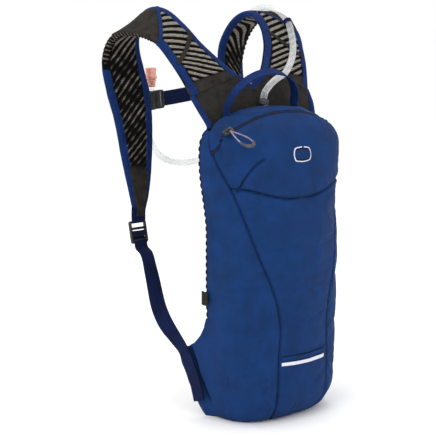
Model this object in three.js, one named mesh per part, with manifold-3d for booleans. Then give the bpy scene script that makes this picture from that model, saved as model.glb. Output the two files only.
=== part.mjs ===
// Hydration pack: a slim body with a flat base, a curved shoulder harness and a drinking tube.
// Millimetres, +Z up. The pack stands on its flat base, its front faces -Y and the wearer is at +Y.
// The origin is on the base, on the pack's plane of symmetry.
import * as THREE from "three";
import { mergeVertices } from "three/addons/utils/BufferGeometryUtils.js";
import Module from "manifold-3d";

const wasm = await Module();
wasm.setup();

// ---------------------------------------------------------------- driving dimensions
const BODY_HEIGHT = 398;
const BASE_HALF_WIDTH = 91;
const MID_HALF_WIDTH = 96;
const SHOULDER_HALF_WIDTH = 108;
const LOWER_DEPTH = 78;
const UPPER_DEPTH = 64;
const CROWN_DEPTH = 30;
const BACK_Y = 38; // the seam where the fabric shell meets the back panel
const SECTION_POWER = 2.6; // squareness of the D-shaped section
const FOOT_HEIGHT = 50; // height over which the lower edge is rounded
const FOOT_SIDE_DRAW = 18;
const FOOT_FRONT_DRAW = 34;
const CROWN_HEIGHT = 50;
const FABRIC = 2; // shell thickness, fabric with its lining
const SEAM_GAP = 0.5; // half of the gap left at each seam
const CLEAR = 0.4; // clearance between touching pieces

const FOAM_TOP = 375;
const FOAM_PLATE = 5;
const FOAM_RIDGE = 5;
const RIDGE_PITCH = 12;

const ZIP_RADIUS = 180; // the zip arch is one circular arc, so that its slider follows it on a hinge
const ZIP_APEX = new THREE.Vector3(0, -5, 393);
const ZIP_DOWN = new THREE.Vector3(0, 0.433, -0.9014); // from the apex towards the arc's centre
const ZIP_START_ANGLE = -31;

const WEBBING_WIDTH = 20;
const WEBBING_THICKNESS = 1.6;
const PAD_THICKNESS = 9;
const PAD_EDGE = 5;
const BINDING = 2.4;
const BINDING_GAP = 0.7;

const HOSE_DIAMETER = 9;
const HOSE_SIDES = 10;

const STERNUM_Z = 402;
const STERNUM_Y = 205;
const STERNUM_RISE = 0.09; // the strap climbs this much per millimetre towards the right shoulder


// ---------------------------------------------------------------- materials
function finish(color, roughness, metalness = 0) {
  return new THREE.MeshStandardMaterial({ color, roughness, metalness });
}
const BLUE_FABRIC = finish("#1b3a74", 0.8);
const NAVY_WEBBING = finish("#16224f", 0.85);
const BLUE_BINDING = finish("#1d3f85", 0.8);
const CHARCOAL_FABRIC = finish("#45423c", 0.9);
const MESH_FOAM = finish("#2a2823", 0.95);
const LINING = finish("#6d7682", 0.85);
const BLACK_ACETAL = finish("#1b1b1d", 0.45);
const REFLECTIVE = finish("#d9dbea", 0.35);
const CLEAR_TUBE = finish("#dfe3e6", 0.15);
const SILICONE = finish("#ea9484", 0.4);
const GREY_RUBBER = finish("#4a4c52", 0.6);

// ---------------------------------------------------------------- geometry helpers
const { lerp, clamp, smoothstep, degToRad } = THREE.MathUtils;
const v = (x, y, z) => new THREE.Vector3(x, y, z);
const pack = new THREE.Group();
pack.name = "hydration_pack";

function add(name, geometry, material, position = v(0, 0, 0)) {
  const mesh = new THREE.Mesh(geometry, material);
  mesh.name = name;
  mesh.position.copy(position);
  pack.add(mesh);
  return mesh;
}

function fromTriangles(points, triangles) {
  let volume = 0;
  for (const [a, b, c] of triangles) {
    volume += points[a].dot(new THREE.Vector3().crossVectors(points[b], points[c]));
  }
  const index = [];
  for (const [a, b, c] of triangles) {
    index.push(...(volume < 0 ? [a, c, b] : [a, b, c]));
  }
  const geometry = new THREE.BufferGeometry();
  const places = points.flatMap((p) => p.toArray());
  geometry.setAttribute("position", new THREE.Float32BufferAttribute(places, 3));
  geometry.setIndex(index);
  return geometry;
}

// A solid through closed rings of points, capped by a fan at each end.
function loft(rings) {
  const count = rings[0].length;
  const points = rings.flat();
  const triangles = [];
  for (let r = 0; r < rings.length - 1; r++) {
    for (let i = 0; i < count; i++) {
      const j = (i + 1) % count;
      const a = r * count + i;
      const b = r * count + j;
      triangles.push([a, b, b + count], [a, b + count, a + count]);
    }
  }
  const last = (rings.length - 1) * count;
  for (let i = 1; i < count - 1; i++) {
    triangles.push([0, i + 1, i], [last, last + i, last + i + 1]);
  }
  return fromTriangles(points, triangles);
}

// A curved sheet with a thickness: two grids of points joined along their four edges.
function sheet(outer, inner, columns, rows) {
  const points = [];
  for (const face of [outer, inner]) {
    for (let r = 0; r <= rows; r++) {
      for (let c = 0; c <= columns; c++) points.push(face(c / columns, r / rows));
    }
  }
  const size = (columns + 1) * (rows + 1);
  const at = (c, r) => r * (columns + 1) + c;
  const triangles = [];
  const quad = (a, b, c, d) => triangles.push([a, b, c], [a, c, d]);
  for (let r = 0; r < rows; r++) {
    for (let c = 0; c < columns; c++) {
      quad(at(c, r), at(c + 1, r), at(c + 1, r + 1), at(c, r + 1));
      quad(size + at(c, r), size + at(c, r + 1), size + at(c + 1, r + 1), size + at(c + 1, r));
    }
  }
  for (let c = 0; c < columns; c++) {
    quad(at(c, 0), size + at(c, 0), size + at(c + 1, 0), at(c + 1, 0));
    quad(at(c, rows), at(c + 1, rows), size + at(c + 1, rows), size + at(c, rows));
  }
  for (let r = 0; r < rows; r++) {
    quad(at(0, r), at(0, r + 1), size + at(0, r + 1), size + at(0, r));
    quad(at(columns, r), size + at(columns, r), size + at(columns, r + 1), at(columns, r + 1));
  }
  return fromTriangles(points, triangles);
}

// A flat strap of rectangular section between two edge curves.
function ribbon(edgeA, edgeB, thickness, steps) {
  const curveA = new THREE.CatmullRomCurve3(edgeA);
  const curveB = new THREE.CatmullRomCurve3(edgeB);
  const rings = [];
  for (let i = 0; i <= steps; i++) {
    const a = curveA.getPoint(i / steps);
    const b = curveB.getPoint(i / steps);
    const normal = faceNormal(curveA, curveB, i / steps).multiplyScalar(thickness / 2);
    rings.push([a.clone().add(normal), b.clone().add(normal), b.clone().sub(normal), a.clone().sub(normal)]);
  }
  return loft(rings);
}

function faceNormal(curveA, curveB, t) {
  const across = curveB.getPoint(t).sub(curveA.getPoint(t));
  const along = curveA.getTangent(t).add(curveB.getTangent(t));
  return across.cross(along).normalize();
}

function straightWebbing(centreline, across, steps) {
  const half = across.clone().normalize().multiplyScalar(WEBBING_WIDTH / 2);
  const edgeA = centreline.map((p) => p.clone().sub(half));
  const edgeB = centreline.map((p) => p.clone().add(half));
  return ribbon(edgeA, edgeB, WEBBING_THICKNESS, steps);
}

function tube(points, radius, sides, steps) {
  const section = new THREE.Shape();
  for (let i = 0; i < sides; i++) {
    const angle = (i / sides) * 2 * Math.PI;
    section[i ? "lineTo" : "moveTo"](radius * Math.cos(angle), radius * Math.sin(angle));
  }
  const extrudePath = new THREE.CatmullRomCurve3(points, false, "centripetal");
  return new THREE.ExtrudeGeometry(section, { steps, extrudePath, curveSegments: 1 });
}

function rod(radius, length, sides = 12) {
  return new THREE.CylinderGeometry(radius, radius, length, sides);
}

function roundedRect(width, height, radius) {
  const shape = new THREE.Shape();
  const x = width / 2;
  const y = height / 2;
  shape.moveTo(-x + radius, -y);
  shape.lineTo(x - radius, -y);
  shape.absarc(x - radius, -y + radius, radius, -Math.PI / 2, 0);
  shape.lineTo(x, y - radius);
  shape.absarc(x - radius, y - radius, radius, 0, Math.PI / 2);
  shape.lineTo(-x + radius, y);
  shape.absarc(-x + radius, y - radius, radius, Math.PI / 2, Math.PI);
  shape.lineTo(-x, -y + radius);
  shape.absarc(-x + radius, -y + radius, radius, Math.PI, 1.5 * Math.PI);
  return shape;
}

function slot(width, height, x, y) {
  const path = new THREE.Path();
  path.moveTo(x - width / 2, y - height / 2);
  path.lineTo(x - width / 2, y + height / 2);
  path.lineTo(x + width / 2, y + height / 2);
  path.lineTo(x + width / 2, y - height / 2);
  path.closePath();
  return path;
}

function plate(shape, thickness, curveSegments = 3) {
  const options = { depth: thickness, bevelEnabled: false, curveSegments };
  return new THREE.ExtrudeGeometry(shape, options).translate(0, 0, -thickness / 2);
}

function toManifold(geometry) {
  const bare = new THREE.BufferGeometry();
  const source = geometry.index ? geometry.toNonIndexed() : geometry;
  bare.setAttribute("position", source.getAttribute("position"));
  const merged = mergeVertices(bare, 1e-4);
  return new wasm.Manifold(new wasm.Mesh({
    numProp: 3,
    vertProperties: new Float32Array(merged.getAttribute("position").array),
    triVerts: new Uint32Array(merged.index.array),
  }));
}

function fromManifold(solid) {
  const mesh = solid.getMesh();
  const geometry = new THREE.BufferGeometry();
  geometry.setAttribute("position", new THREE.BufferAttribute(mesh.vertProperties, 3));
  geometry.setIndex(new THREE.BufferAttribute(mesh.triVerts, 1));
  return geometry;
}

function join(...geometries) {
  const solids = geometries.map(toManifold);
  return fromManifold(solids.reduce((whole, next) => whole.add(next)));
}

function cut(geometry, ...tools) {
  const solids = tools.map(toManifold);
  return fromManifold(solids.reduce((whole, tool) => whole.subtract(tool), toManifold(geometry)));
}

function box(x, y, z) {
  return new THREE.BoxGeometry(x, y, z);
}

// The same solid on the other side of the plane of symmetry, its faces turned the right way again.
function mirrorX(geometry) {
  const copy = (geometry.index ? geometry.toNonIndexed() : geometry.clone()).scale(-1, 1, 1);
  const place = copy.getAttribute("position");
  const corner = new THREE.Vector3();
  const other = new THREE.Vector3();
  for (let i = 0; i < place.count; i += 3) {
    corner.fromBufferAttribute(place, i + 1);
    other.fromBufferAttribute(place, i + 2);
    place.setXYZ(i + 1, other.x, other.y, other.z);
    place.setXYZ(i + 2, corner.x, corner.y, corner.z);
  }
  const bare = new THREE.BufferGeometry();
  bare.setAttribute("position", place);
  return mergeVertices(bare, 1e-4);
}

function addPair(name, rightGeometry, material) {
  add(`${name}_right`, rightGeometry, material);
  add(`${name}_left`, mirrorX(rightGeometry), material);
}

// ---------------------------------------------------------------- the body's surface
function halfWidth(z) {
  const lower = lerp(BASE_HALF_WIDTH, MID_HALF_WIDTH, smoothstep(z, 20, 200));
  const full = lerp(lower, SHOULDER_HALF_WIDTH, smoothstep(z, 240, 335));
  const foot = clamp((FOOT_HEIGHT - z) / FOOT_HEIGHT, 0, 1);
  const crown = clamp((z - BODY_HEIGHT + CROWN_HEIGHT) / CROWN_HEIGHT, 0, 1);
  const drawn = full - FOOT_SIDE_DRAW * (1 - Math.sqrt(1 - foot * foot));
  return drawn * Math.pow(1 - Math.pow(crown, 2.2), 1 / 2.2);
}

function depth(z) {
  const full = lerp(LOWER_DEPTH, UPPER_DEPTH, smoothstep(z, 180, 330));
  const foot = clamp((FOOT_HEIGHT - z) / FOOT_HEIGHT, 0, 1);
  const crown = clamp((z - BODY_HEIGHT + 60) / 60, 0, 1) ** 2;
  const drawn = full - FOOT_FRONT_DRAW * (1 - Math.sqrt(1 - foot * foot));
  return lerp(drawn, CROWN_DEPTH, crown);
}

// u runs from -1 at the left back edge through 0 at the front centre to 1 at the right back edge.
function bodyPoint(u, z, inset = 0) {
  const angle = (Math.abs(u) * Math.PI) / 2;
  const x = Math.sign(u) * (halfWidth(z) - inset) * Math.pow(Math.sin(angle), 2 / SECTION_POWER);
  const y = BACK_Y - (depth(z) - inset) * Math.pow(Math.cos(angle), 2 / SECTION_POWER);
  return v(x, y, z);
}

// Piecewise smooth value through a few [key, value] stations.
function through(stations, key) {
  const last = stations.length - 1;
  if (key <= stations[0][0]) return stations[0][1];
  if (key >= stations[last][0]) return stations[last][1];
  const i = stations.findIndex((station) => station[0] > key) - 1;
  const t = (key - stations[i][0]) / (stations[i + 1][0] - stations[i][0]);
  return lerp(stations[i][1], stations[i + 1][1], t);
}

// The side seam: how far round the section it lies at each height.
const SIDE_SEAM = [[0, 0.255], [80, 0.245], [125, 0.22], [155, 0.25], [182, 0.32], [217, 0.44],
  [249, 0.535], [303, 0.67], [345, 0.88], [368, 0.955], [378, 1.01]];
const sideSeam = (z) => through(SIDE_SEAM, z);

// The pocket seam dips in a shallow smile between the side seams.
const SMILE_LOW = 287;
const SMILE_END = 303;
const smileSeam = (u) => lerp(SMILE_LOW, SMILE_END, smoothstep(Math.abs(u), 0, 0.6));

// The zip's height above the base at a distance x from the middle, and beyond the arc its end bends.
function zipHeight(x) {
  const reach = Math.min(Math.abs(x), 96);
  const drop = ZIP_RADIUS - Math.sqrt(ZIP_RADIUS ** 2 - reach ** 2);
  return ZIP_APEX.z + ZIP_DOWN.z * drop - 2 * (Math.abs(x) - reach);
}

function zipSeam(u) {
  let z = 370;
  for (let i = 0; i < 12; i++) z = lerp(z, zipHeight(bodyPoint(u, z).x), 0.6);
  return z;
}

function bodyPanel(place, columns, rows) {
  const outer = (s, t) => bodyPoint(...place(s, t));
  const inner = (s, t) => bodyPoint(...place(s, t), FABRIC);
  return sheet(outer, inner, columns, rows);
}

const BASE_TOP = 3;
const uGap = 0.0045; // the seam gap in terms of u

function addBody() {
  const frontTop = (u) => smileSeam(u) - SEAM_GAP;
  add("front_panel", bodyPanel((s, t) => {
    let u = 0;
    let z = 0;
    for (let i = 0; i < 6; i++) {
      z = lerp(BASE_TOP + SEAM_GAP, frontTop(u), t);
      u = (2 * s - 1) * (sideSeam(z) - uGap);
    }
    return [u, z];
  }, 10, 14), BLUE_FABRIC);

  add("pocket_panel", bodyPanel((s, t) => {
    let u = 0;
    let z = 340;
    for (let i = 0; i < 10; i++) {
      z = lerp(smileSeam(u) + SEAM_GAP, zipSeam(u) - SEAM_GAP, t);
      u = (2 * s - 1) * (sideSeam(z) - uGap);
    }
    return [u, z];
  }, 16, 6), BLUE_FABRIC);

  add("top_panel", bodyPanel((s, t) => {
    let u = 0;
    let z = 380;
    for (let i = 0; i < 10; i++) {
      z = lerp(zipSeam(u) + SEAM_GAP, BODY_HEIGHT - 1, Math.pow(t, 0.7));
      u = (2 * s - 1) * Math.min(1, sideSeam(z) - uGap);
    }
    return [u, z];
  }, 20, 6), BLUE_FABRIC);

  addPair("side_panel", bodyPanel((s, t) => {
    const z = lerp(BASE_TOP + SEAM_GAP, 368, t);
    return [lerp(sideSeam(z) + uGap, 1, s), z];
  }, 7, 20), BLUE_FABRIC);

  const outline = [];
  for (let i = 0; i <= 20; i++) {
    const p = bodyPoint(i / 10 - 1, 0);
    outline.push(new THREE.Vector2(p.x, p.y));
  }
  const options = { depth: BASE_TOP, bevelEnabled: false };
  add("base_panel", new THREE.ExtrudeGeometry(new THREE.Shape(outline), options), BLUE_FABRIC);
}

// ---------------------------------------------------------------- back panel
function backOutline(inset, z) {
  return halfWidth(clamp(z, 0, BODY_HEIGHT - 8)) - inset;
}

function addBackPanel() {
  const front = BACK_Y + CLEAR;
  const plateBack = front + FOAM_PLATE;
  const slices = [];
  for (let z = 0; z < FOAM_TOP; z += RIDGE_PITCH / 2) slices.push(z);
  const rings = slices.map((z, i) => {
    const ridge = i % 2 === 0 ? 0 : FOAM_RIDGE;
    const w = backOutline(2, z);
    return [v(-w, front, z), v(w, front, z), v(w, plateBack + ridge * 0.4, z),
      v(w - 8, plateBack + ridge, z), v(-w + 8, plateBack + ridge, z), v(-w, plateBack + ridge * 0.4, z)];
  });
  add("back_foam", loft(rings), MESH_FOAM);

  const meshY = plateBack + FOAM_RIDGE + CLEAR;
  const meshPoint = (s, t, y) => {
    const z = lerp(8, FOAM_TOP - 8, t);
    return v((2 * s - 1) * backOutline(12, z), y, z);
  };
  const outer = (s, t) => meshPoint(s, t, meshY + 0.8);
  const inner = (s, t) => meshPoint(s, t, meshY);
  add("back_mesh", sheet(outer, inner, 1, 12), MESH_FOAM);
}

// ---------------------------------------------------------------- zip
const ZIP_CENTRE = ZIP_APEX.clone().addScaledVector(ZIP_DOWN, ZIP_RADIUS);
const ZIP_AXIS = v(1, 0, 0).cross(ZIP_DOWN).normalize();

// A point on the zip arc; lift moves it out of the arc's plane and rise away from its centre.
function zipPoint(degrees, lift = 0, rise = 0) {
  const angle = degToRad(degrees);
  const radial = v(Math.sin(angle), 0, 0).addScaledVector(ZIP_DOWN, -Math.cos(angle));
  return ZIP_CENTRE.clone().addScaledVector(radial, ZIP_RADIUS + rise).addScaledVector(ZIP_AXIS, lift);
}

function zipBand(fromDegrees, toDegrees, lowLift, highLift, lowRise, highRise, steps) {
  const rings = [];
  for (let i = 0; i <= steps; i++) {
    const degrees = lerp(fromDegrees, toDegrees, i / steps);
    rings.push([zipPoint(degrees, lowLift, lowRise), zipPoint(degrees, lowLift, highRise),
      zipPoint(degrees, highLift, highRise), zipPoint(degrees, highLift, lowRise)]);
  }
  return loft(rings);
}

function addZip() {
  add("zip_tape", zipBand(-33, 33, -4, 4, 0, 1, 22), NAVY_WEBBING);
  add("zip_chain", zipBand(-33, 33, -2.2, 2.2, 1 + CLEAR, 3, 22), BLACK_ACETAL);

  const low = 3 + CLEAR;
  const slider = zipBand(ZIP_START_ANGLE - 2, ZIP_START_ANGLE + 2, -4.2, 4.2, low, low + 3.2, 2);
  const bail = zipBand(ZIP_START_ANGLE - 1.2, ZIP_START_ANGLE + 1.2, -1.2, 1.2, low + 3, low + 6, 2);
  add("zip_slider", join(slider, bail), BLACK_ACETAL);
}

// The pull hangs from the slider: a thin cord loop with a moulded grip on its lower end.
const PULL_TOP = zipPoint(ZIP_START_ANGLE, -3, 3 + CLEAR + 5).add(v(0, -1.5, 0));
const PULL_GRIP = PULL_TOP.clone().add(v(9, -22, -13));

function addZipPull() {
  const along = PULL_GRIP.clone().sub(PULL_TOP).normalize();
  const across = along.clone().cross(v(0, -0.6, 0.8)).normalize();
  const start = PULL_TOP.clone().addScaledVector(along, 1.5);
  const end = PULL_GRIP.clone().addScaledVector(along, -6);
  const loop = [start.clone(), start.clone().addScaledVector(along, 5).addScaledVector(across, 4),
    end.clone().addScaledVector(across, 5)];
  const back = loop.map((p) => {
    const side = p.clone().sub(start).dot(across);
    return p.clone().addScaledVector(across, -2 * side);
  }).reverse();
  const cord = tube([...back.slice(0, 2), start, ...loop.slice(1)], 0.9, 8, 16);
  add("zip_pull_cord", cord, GREY_RUBBER);

  const gripPath = [end.clone().addScaledVector(across, 5).addScaledVector(along, 1),
    end.clone().addScaledVector(across, 3.6).addScaledVector(along, 6),
    end.clone().addScaledVector(along, 8.2),
    end.clone().addScaledVector(across, -3.6).addScaledVector(along, 6),
    end.clone().addScaledVector(across, -5).addScaledVector(along, 1)];
  add("zip_pull_grip", tube(gripPath, 1.9, 8, 14), GREY_RUBBER);
}

// ---------------------------------------------------------------- trim on the front
function surfacePatch(xFrom, xTo, heights, lift, thickness, columns) {
  const place = (s, t, out) => {
    const z = lerp(heights[0], heights[1], t);
    const x = lerp(xFrom, xTo, s);
    const share = clamp(Math.abs(x) / halfWidth(z), 0, 1);
    const y = BACK_Y - depth(z) * Math.pow(1 - Math.pow(share, SECTION_POWER), 1 / SECTION_POWER);
    return v(x, y - out, z);
  };
  return sheet((s, t) => place(s, t, lift + thickness), (s, t) => place(s, t, lift), columns, 2);
}

function addTrim() {
  add("light_loop", surfacePatch(-38, 36, [86, 92.5], CLEAR, 1.4, 8), BLUE_FABRIC);
  add("reflective_strip", surfacePatch(-36, 36, [80, 85], CLEAR, 1, 8), REFLECTIVE);
  add("badge", surfacePatch(-16, 16, [330, 352], CLEAR, 1, 6), REFLECTIVE);
  add("side_label", box(1.2, 10, 20), BLACK_ACETAL, v(-halfWidth(160) - 3, BACK_Y - 2, 160));
}

// ---------------------------------------------------------------- harness
// Edge curves of a shoulder strap, from the yoke over the shoulder and down the chest.
const STRAP_INNER = [v(21, 70, 435), v(38, 82, 452), v(57, 99, 475), v(69, 119, 497), v(76, 145, 512),
  v(80, 170, 512), v(79, 191, 499), v(74, 206, 470), v(69, 202, 440), v(68, 192, 411), v(71, 183, 374),
  v(77, 177, 320), v(86, 172, 280), v(97, 169, 250)];
const STRAP_OUTER = [v(97, 68, 412), v(107, 82, 441), v(113, 94, 461), v(119, 108, 485), v(123, 128, 504),
  v(125, 150, 512), v(126, 176, 508), v(126, 200, 490), v(124, 216, 455), v(121, 211, 413), v(118, 198, 374),
  v(116, 186, 325), v(113, 176, 285), v(109, 169, 250)];
// The soft straps don't lie alike: the right one spreads wider by the yoke, and the left one's outer
// edge droops at the crest. Both are offsets at the outer curve's points.
const RIGHT_SPREAD = [8, 9, 10, 9, 5, 2, 0, 0, 0, 0, 0, 0, 0, 0];
const LEFT_DROOP = [0, 0, 2, 9, 19, 24, 20, 12, 4, 0, 0, 0, 0, 0];
const STRAP_OUTER_RIGHT = STRAP_OUTER.map((p, i) => p.clone().add(v(RIGHT_SPREAD[i], 0, 0)));
const STRAP_OUTER_LEFT = STRAP_OUTER.map((p, i) => p.clone().add(v(0, 0, -LEFT_DROOP[i])));
const STRAP_STEPS = 28;

function strapPad(inner, outer) {
  const curveA = new THREE.CatmullRomCurve3(inner);
  const curveB = new THREE.CatmullRomCurve3(outer);
  const rings = [];
  for (let i = 0; i <= STRAP_STEPS; i++) {
    const t = i / STRAP_STEPS;
    const a = curveA.getPoint(t);
    const b = curveB.getPoint(t);
    const normal = faceNormal(curveA, curveB, t);
    const at = (share, half) => a.clone().lerp(b, share).addScaledVector(normal, half);
    const edge = PAD_EDGE / 2;
    const full = PAD_THICKNESS / 2;
    rings.push([at(0, edge), at(0.2, full), at(0.8, full), at(1, edge),
      at(1, -edge), at(0.8, -full), at(0.2, -full), at(0, -edge)]);
  }
  return loft(rings);
}

// A binding runs along one edge of the pad, just clear of it.
function edgeBinding(edge, other) {
  const curve = new THREE.CatmullRomCurve3(edge);
  const otherCurve = new THREE.CatmullRomCurve3(other);
  const rings = [];
  for (let i = 0; i <= STRAP_STEPS; i++) {
    const t = i / STRAP_STEPS;
    const p = curve.getPoint(t);
    const outward = p.clone().sub(otherCurve.getPoint(t)).normalize();
    const normal = outward.clone().cross(curve.getTangent(t)).normalize();
    const at = (out, up) => p.clone().addScaledVector(outward, out).addScaledVector(normal, up);
    rings.push([at(BINDING_GAP, 2.6), at(BINDING_GAP + BINDING, 1.6),
      at(BINDING_GAP + BINDING, -1.6), at(BINDING_GAP, -2.6)]);
  }
  return loft(rings);
}

// A short elastic band across the pad's outer face, at a fraction t of the strap's length.
function keeperBand(t, outer) {
  const curveA = new THREE.CatmullRomCurve3(STRAP_INNER);
  const curveB = new THREE.CatmullRomCurve3(outer);
  const low = PAD_THICKNESS / 2 + 0.6;
  const rings = [0.12, 0.35, 0.65, 0.88].map((share) => {
    const place = (along, lift) => {
      const normal = faceNormal(curveA, curveB, t + along);
      return curveA.getPoint(t + along).lerp(curveB.getPoint(t + along), share).addScaledVector(normal, lift);
    };
    return [place(-0.012, low), place(0.012, low), place(0.012, low + 1.2), place(-0.012, low + 1.2)];
  });
  return loft(rings);
}

function addHarness() {
  const yokeTop = (s) => {
    const reach = Math.abs(s);
    const corner = v(96 + (s > 0 ? RIGHT_SPREAD[0] : 0), 66.5, 411);
    if (reach < 0.25) return v(0, 66, 422).lerp(v(20, 68.5, 433), reach / 0.25);
    return v(20, 68.5, 433).lerp(corner, (reach - 0.25) / 0.75);
  };
  const yokeFoot = (s) => v(92 * Math.abs(s), 42.5, 378);
  const yoke = (s, t, offset) => {
    const side = 2 * s - 1;
    const point = yokeFoot(side).lerp(yokeTop(side), t);
    point.x *= Math.sign(side);
    return point.add(v(0, offset * 0.8, offset * -0.5));
  };
  add("yoke_panel", sheet((s, t) => yoke(s, t, -2), (s, t) => yoke(s, t, 2), 16, 3), CHARCOAL_FABRIC);

  const straps = [["right", STRAP_OUTER_RIGHT, (geometry) => geometry], ["left", STRAP_OUTER_LEFT, mirrorX]];
  for (const [side, outer, place] of straps) {
    add(`shoulder_pad_${side}`, place(strapPad(STRAP_INNER, outer)), MESH_FOAM);
    add(`inner_binding_${side}`, place(edgeBinding(STRAP_INNER, outer)), BLUE_BINDING);
    add(`outer_binding_${side}`, place(edgeBinding(outer, STRAP_INNER)), BLUE_BINDING);
    add(`keeper_band_${side}`, place(keeperBand(0.2, outer)), CHARCOAL_FABRIC);
  }
}

// The haul loop stands on the crown, a little left of the middle, and flops about the line through its
// sewn ends. Its right end is sewn in higher, where the crown is higher.
const HAUL_AXIS = v(0, 40, 396);
const HAUL_SHIFT = -6;
const HAUL_HALF_SPAN = 59;
const HAUL_RISE = 43;
const HAUL_SLOPE = 0.06;

function addHaulLoop() {
  const line = [];
  for (let i = 0; i <= 14; i++) {
    const angle = (i / 14) * Math.PI;
    const across = -HAUL_HALF_SPAN * Math.cos(angle);
    line.push(v(HAUL_SHIFT + across, HAUL_AXIS.y - 0.28 * HAUL_RISE * Math.sin(angle),
      HAUL_AXIS.z + 2 + HAUL_SLOPE * across + HAUL_RISE * Math.sin(angle)));
  }
  const half = v(0, 5, 1.5);
  add("haul_loop", ribbon(line.map((p) => p.clone().sub(half)), line.map((p) => p.clone().add(half)), 2, 24),
    BLUE_BINDING);
}

// ---------------------------------------------------------------- strap adjusters
const LOCK = v(104, 169.5, 229);
const WING_X = 93.5;
const LOCK_TILT = 0.22; // the lock leans with the strap's end

function addAdjusters() {
  const shape = roundedRect(27, 30, 3);
  shape.holes.push(slot(21.5, 5, 0, 9), slot(21.5, 5, 0, 0.5), slot(21.5, 4, 0, -8));
  const lock = plate(shape, 4).rotateX(Math.PI / 2 - LOCK_TILT).translate(LOCK.x, LOCK.y, LOCK.z);
  addPair("ladder_lock", lock, BLACK_ACETAL);
  addPair("end_tab", straightWebbing([v(LOCK.x, 168.6, 249), v(LOCK.x, 168.2, 244.8)], v(1, 0, 0), 2),
    NAVY_WEBBING);

  // The webbing leaves the lock flat, makes a quarter turn and is sewn down the wing's outer face.
  const sewnX = WING_X + 2.6;
  const centres = [v(105, 163, 212), v(107, 148, 203), v(108, 136, 176), v(107, 123, 134), v(105, 111, 114),
    v(101, 98, 98), v(sewnX + 0.6, 86, 82), v(sewnX, 74, 62), v(sewnX, 64, 42), v(sewnX, 57, 22)];
  const turns = [v(1, 0, 0), v(1, 0, 0), v(1, 0, 0), v(0.95, 0.3, 0), v(0.7, 0.65, -0.3), v(0.3, 0.85, -0.45),
    v(0, 0.87, -0.5), v(0, 0.87, -0.5), v(0, 0.9, -0.42), v(0, 0.94, -0.33)];
  const offset = (share) => centres.map((centre, i) => {
    return centre.clone().addScaledVector(turns[i].clone().normalize(), (share * WEBBING_WIDTH) / 2);
  });
  addPair("adjuster_webbing", ribbon(offset(-1), offset(1), WEBBING_THICKNESS, 30), NAVY_WEBBING);

  const outline = [[40, 0], [55, 0], [59, 6], [70, 28], [82, 48], [93, 64], [98, 76], [88, 88], [70, 92],
    [54, 98], [40, 106]];
  const wing = new THREE.Shape(outline.map(([y, z]) => new THREE.Vector2(y, z)));
  const upright = new THREE.Matrix4().makeBasis(v(0, 1, 0), v(0, 0, 1), v(1, 0, 0));
  addPair("wing", plate(wing, 2.4).applyMatrix4(upright).translate(WING_X, 0, 0), BLUE_FABRIC);
}

// ---------------------------------------------------------------- sternum strap
// Rails on the outer faces of both shoulder pads guide a slider each, so the strap goes up and down.
const RAIL_X = 80;
const RAIL_DIRECTION = v(0, 0.28, 0.96).normalize();
const RAIL_LIFT = 7;
const RAIL_DROP = 18; // the strap is worn near the top of its rails
const SLIDER_ARM = 8;
const SOCKET_X = -57;
const PLUG_X = -38;
const PRONG_X = -53.4;
const BUCKLE_LIFT = 3;
const sternumPoint = (x, y = 0) => {
  const climb = STERNUM_RISE * x;
  return v(x, STERNUM_Y + y + RAIL_DIRECTION.y * climb, STERNUM_Z + climb);
};

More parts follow.
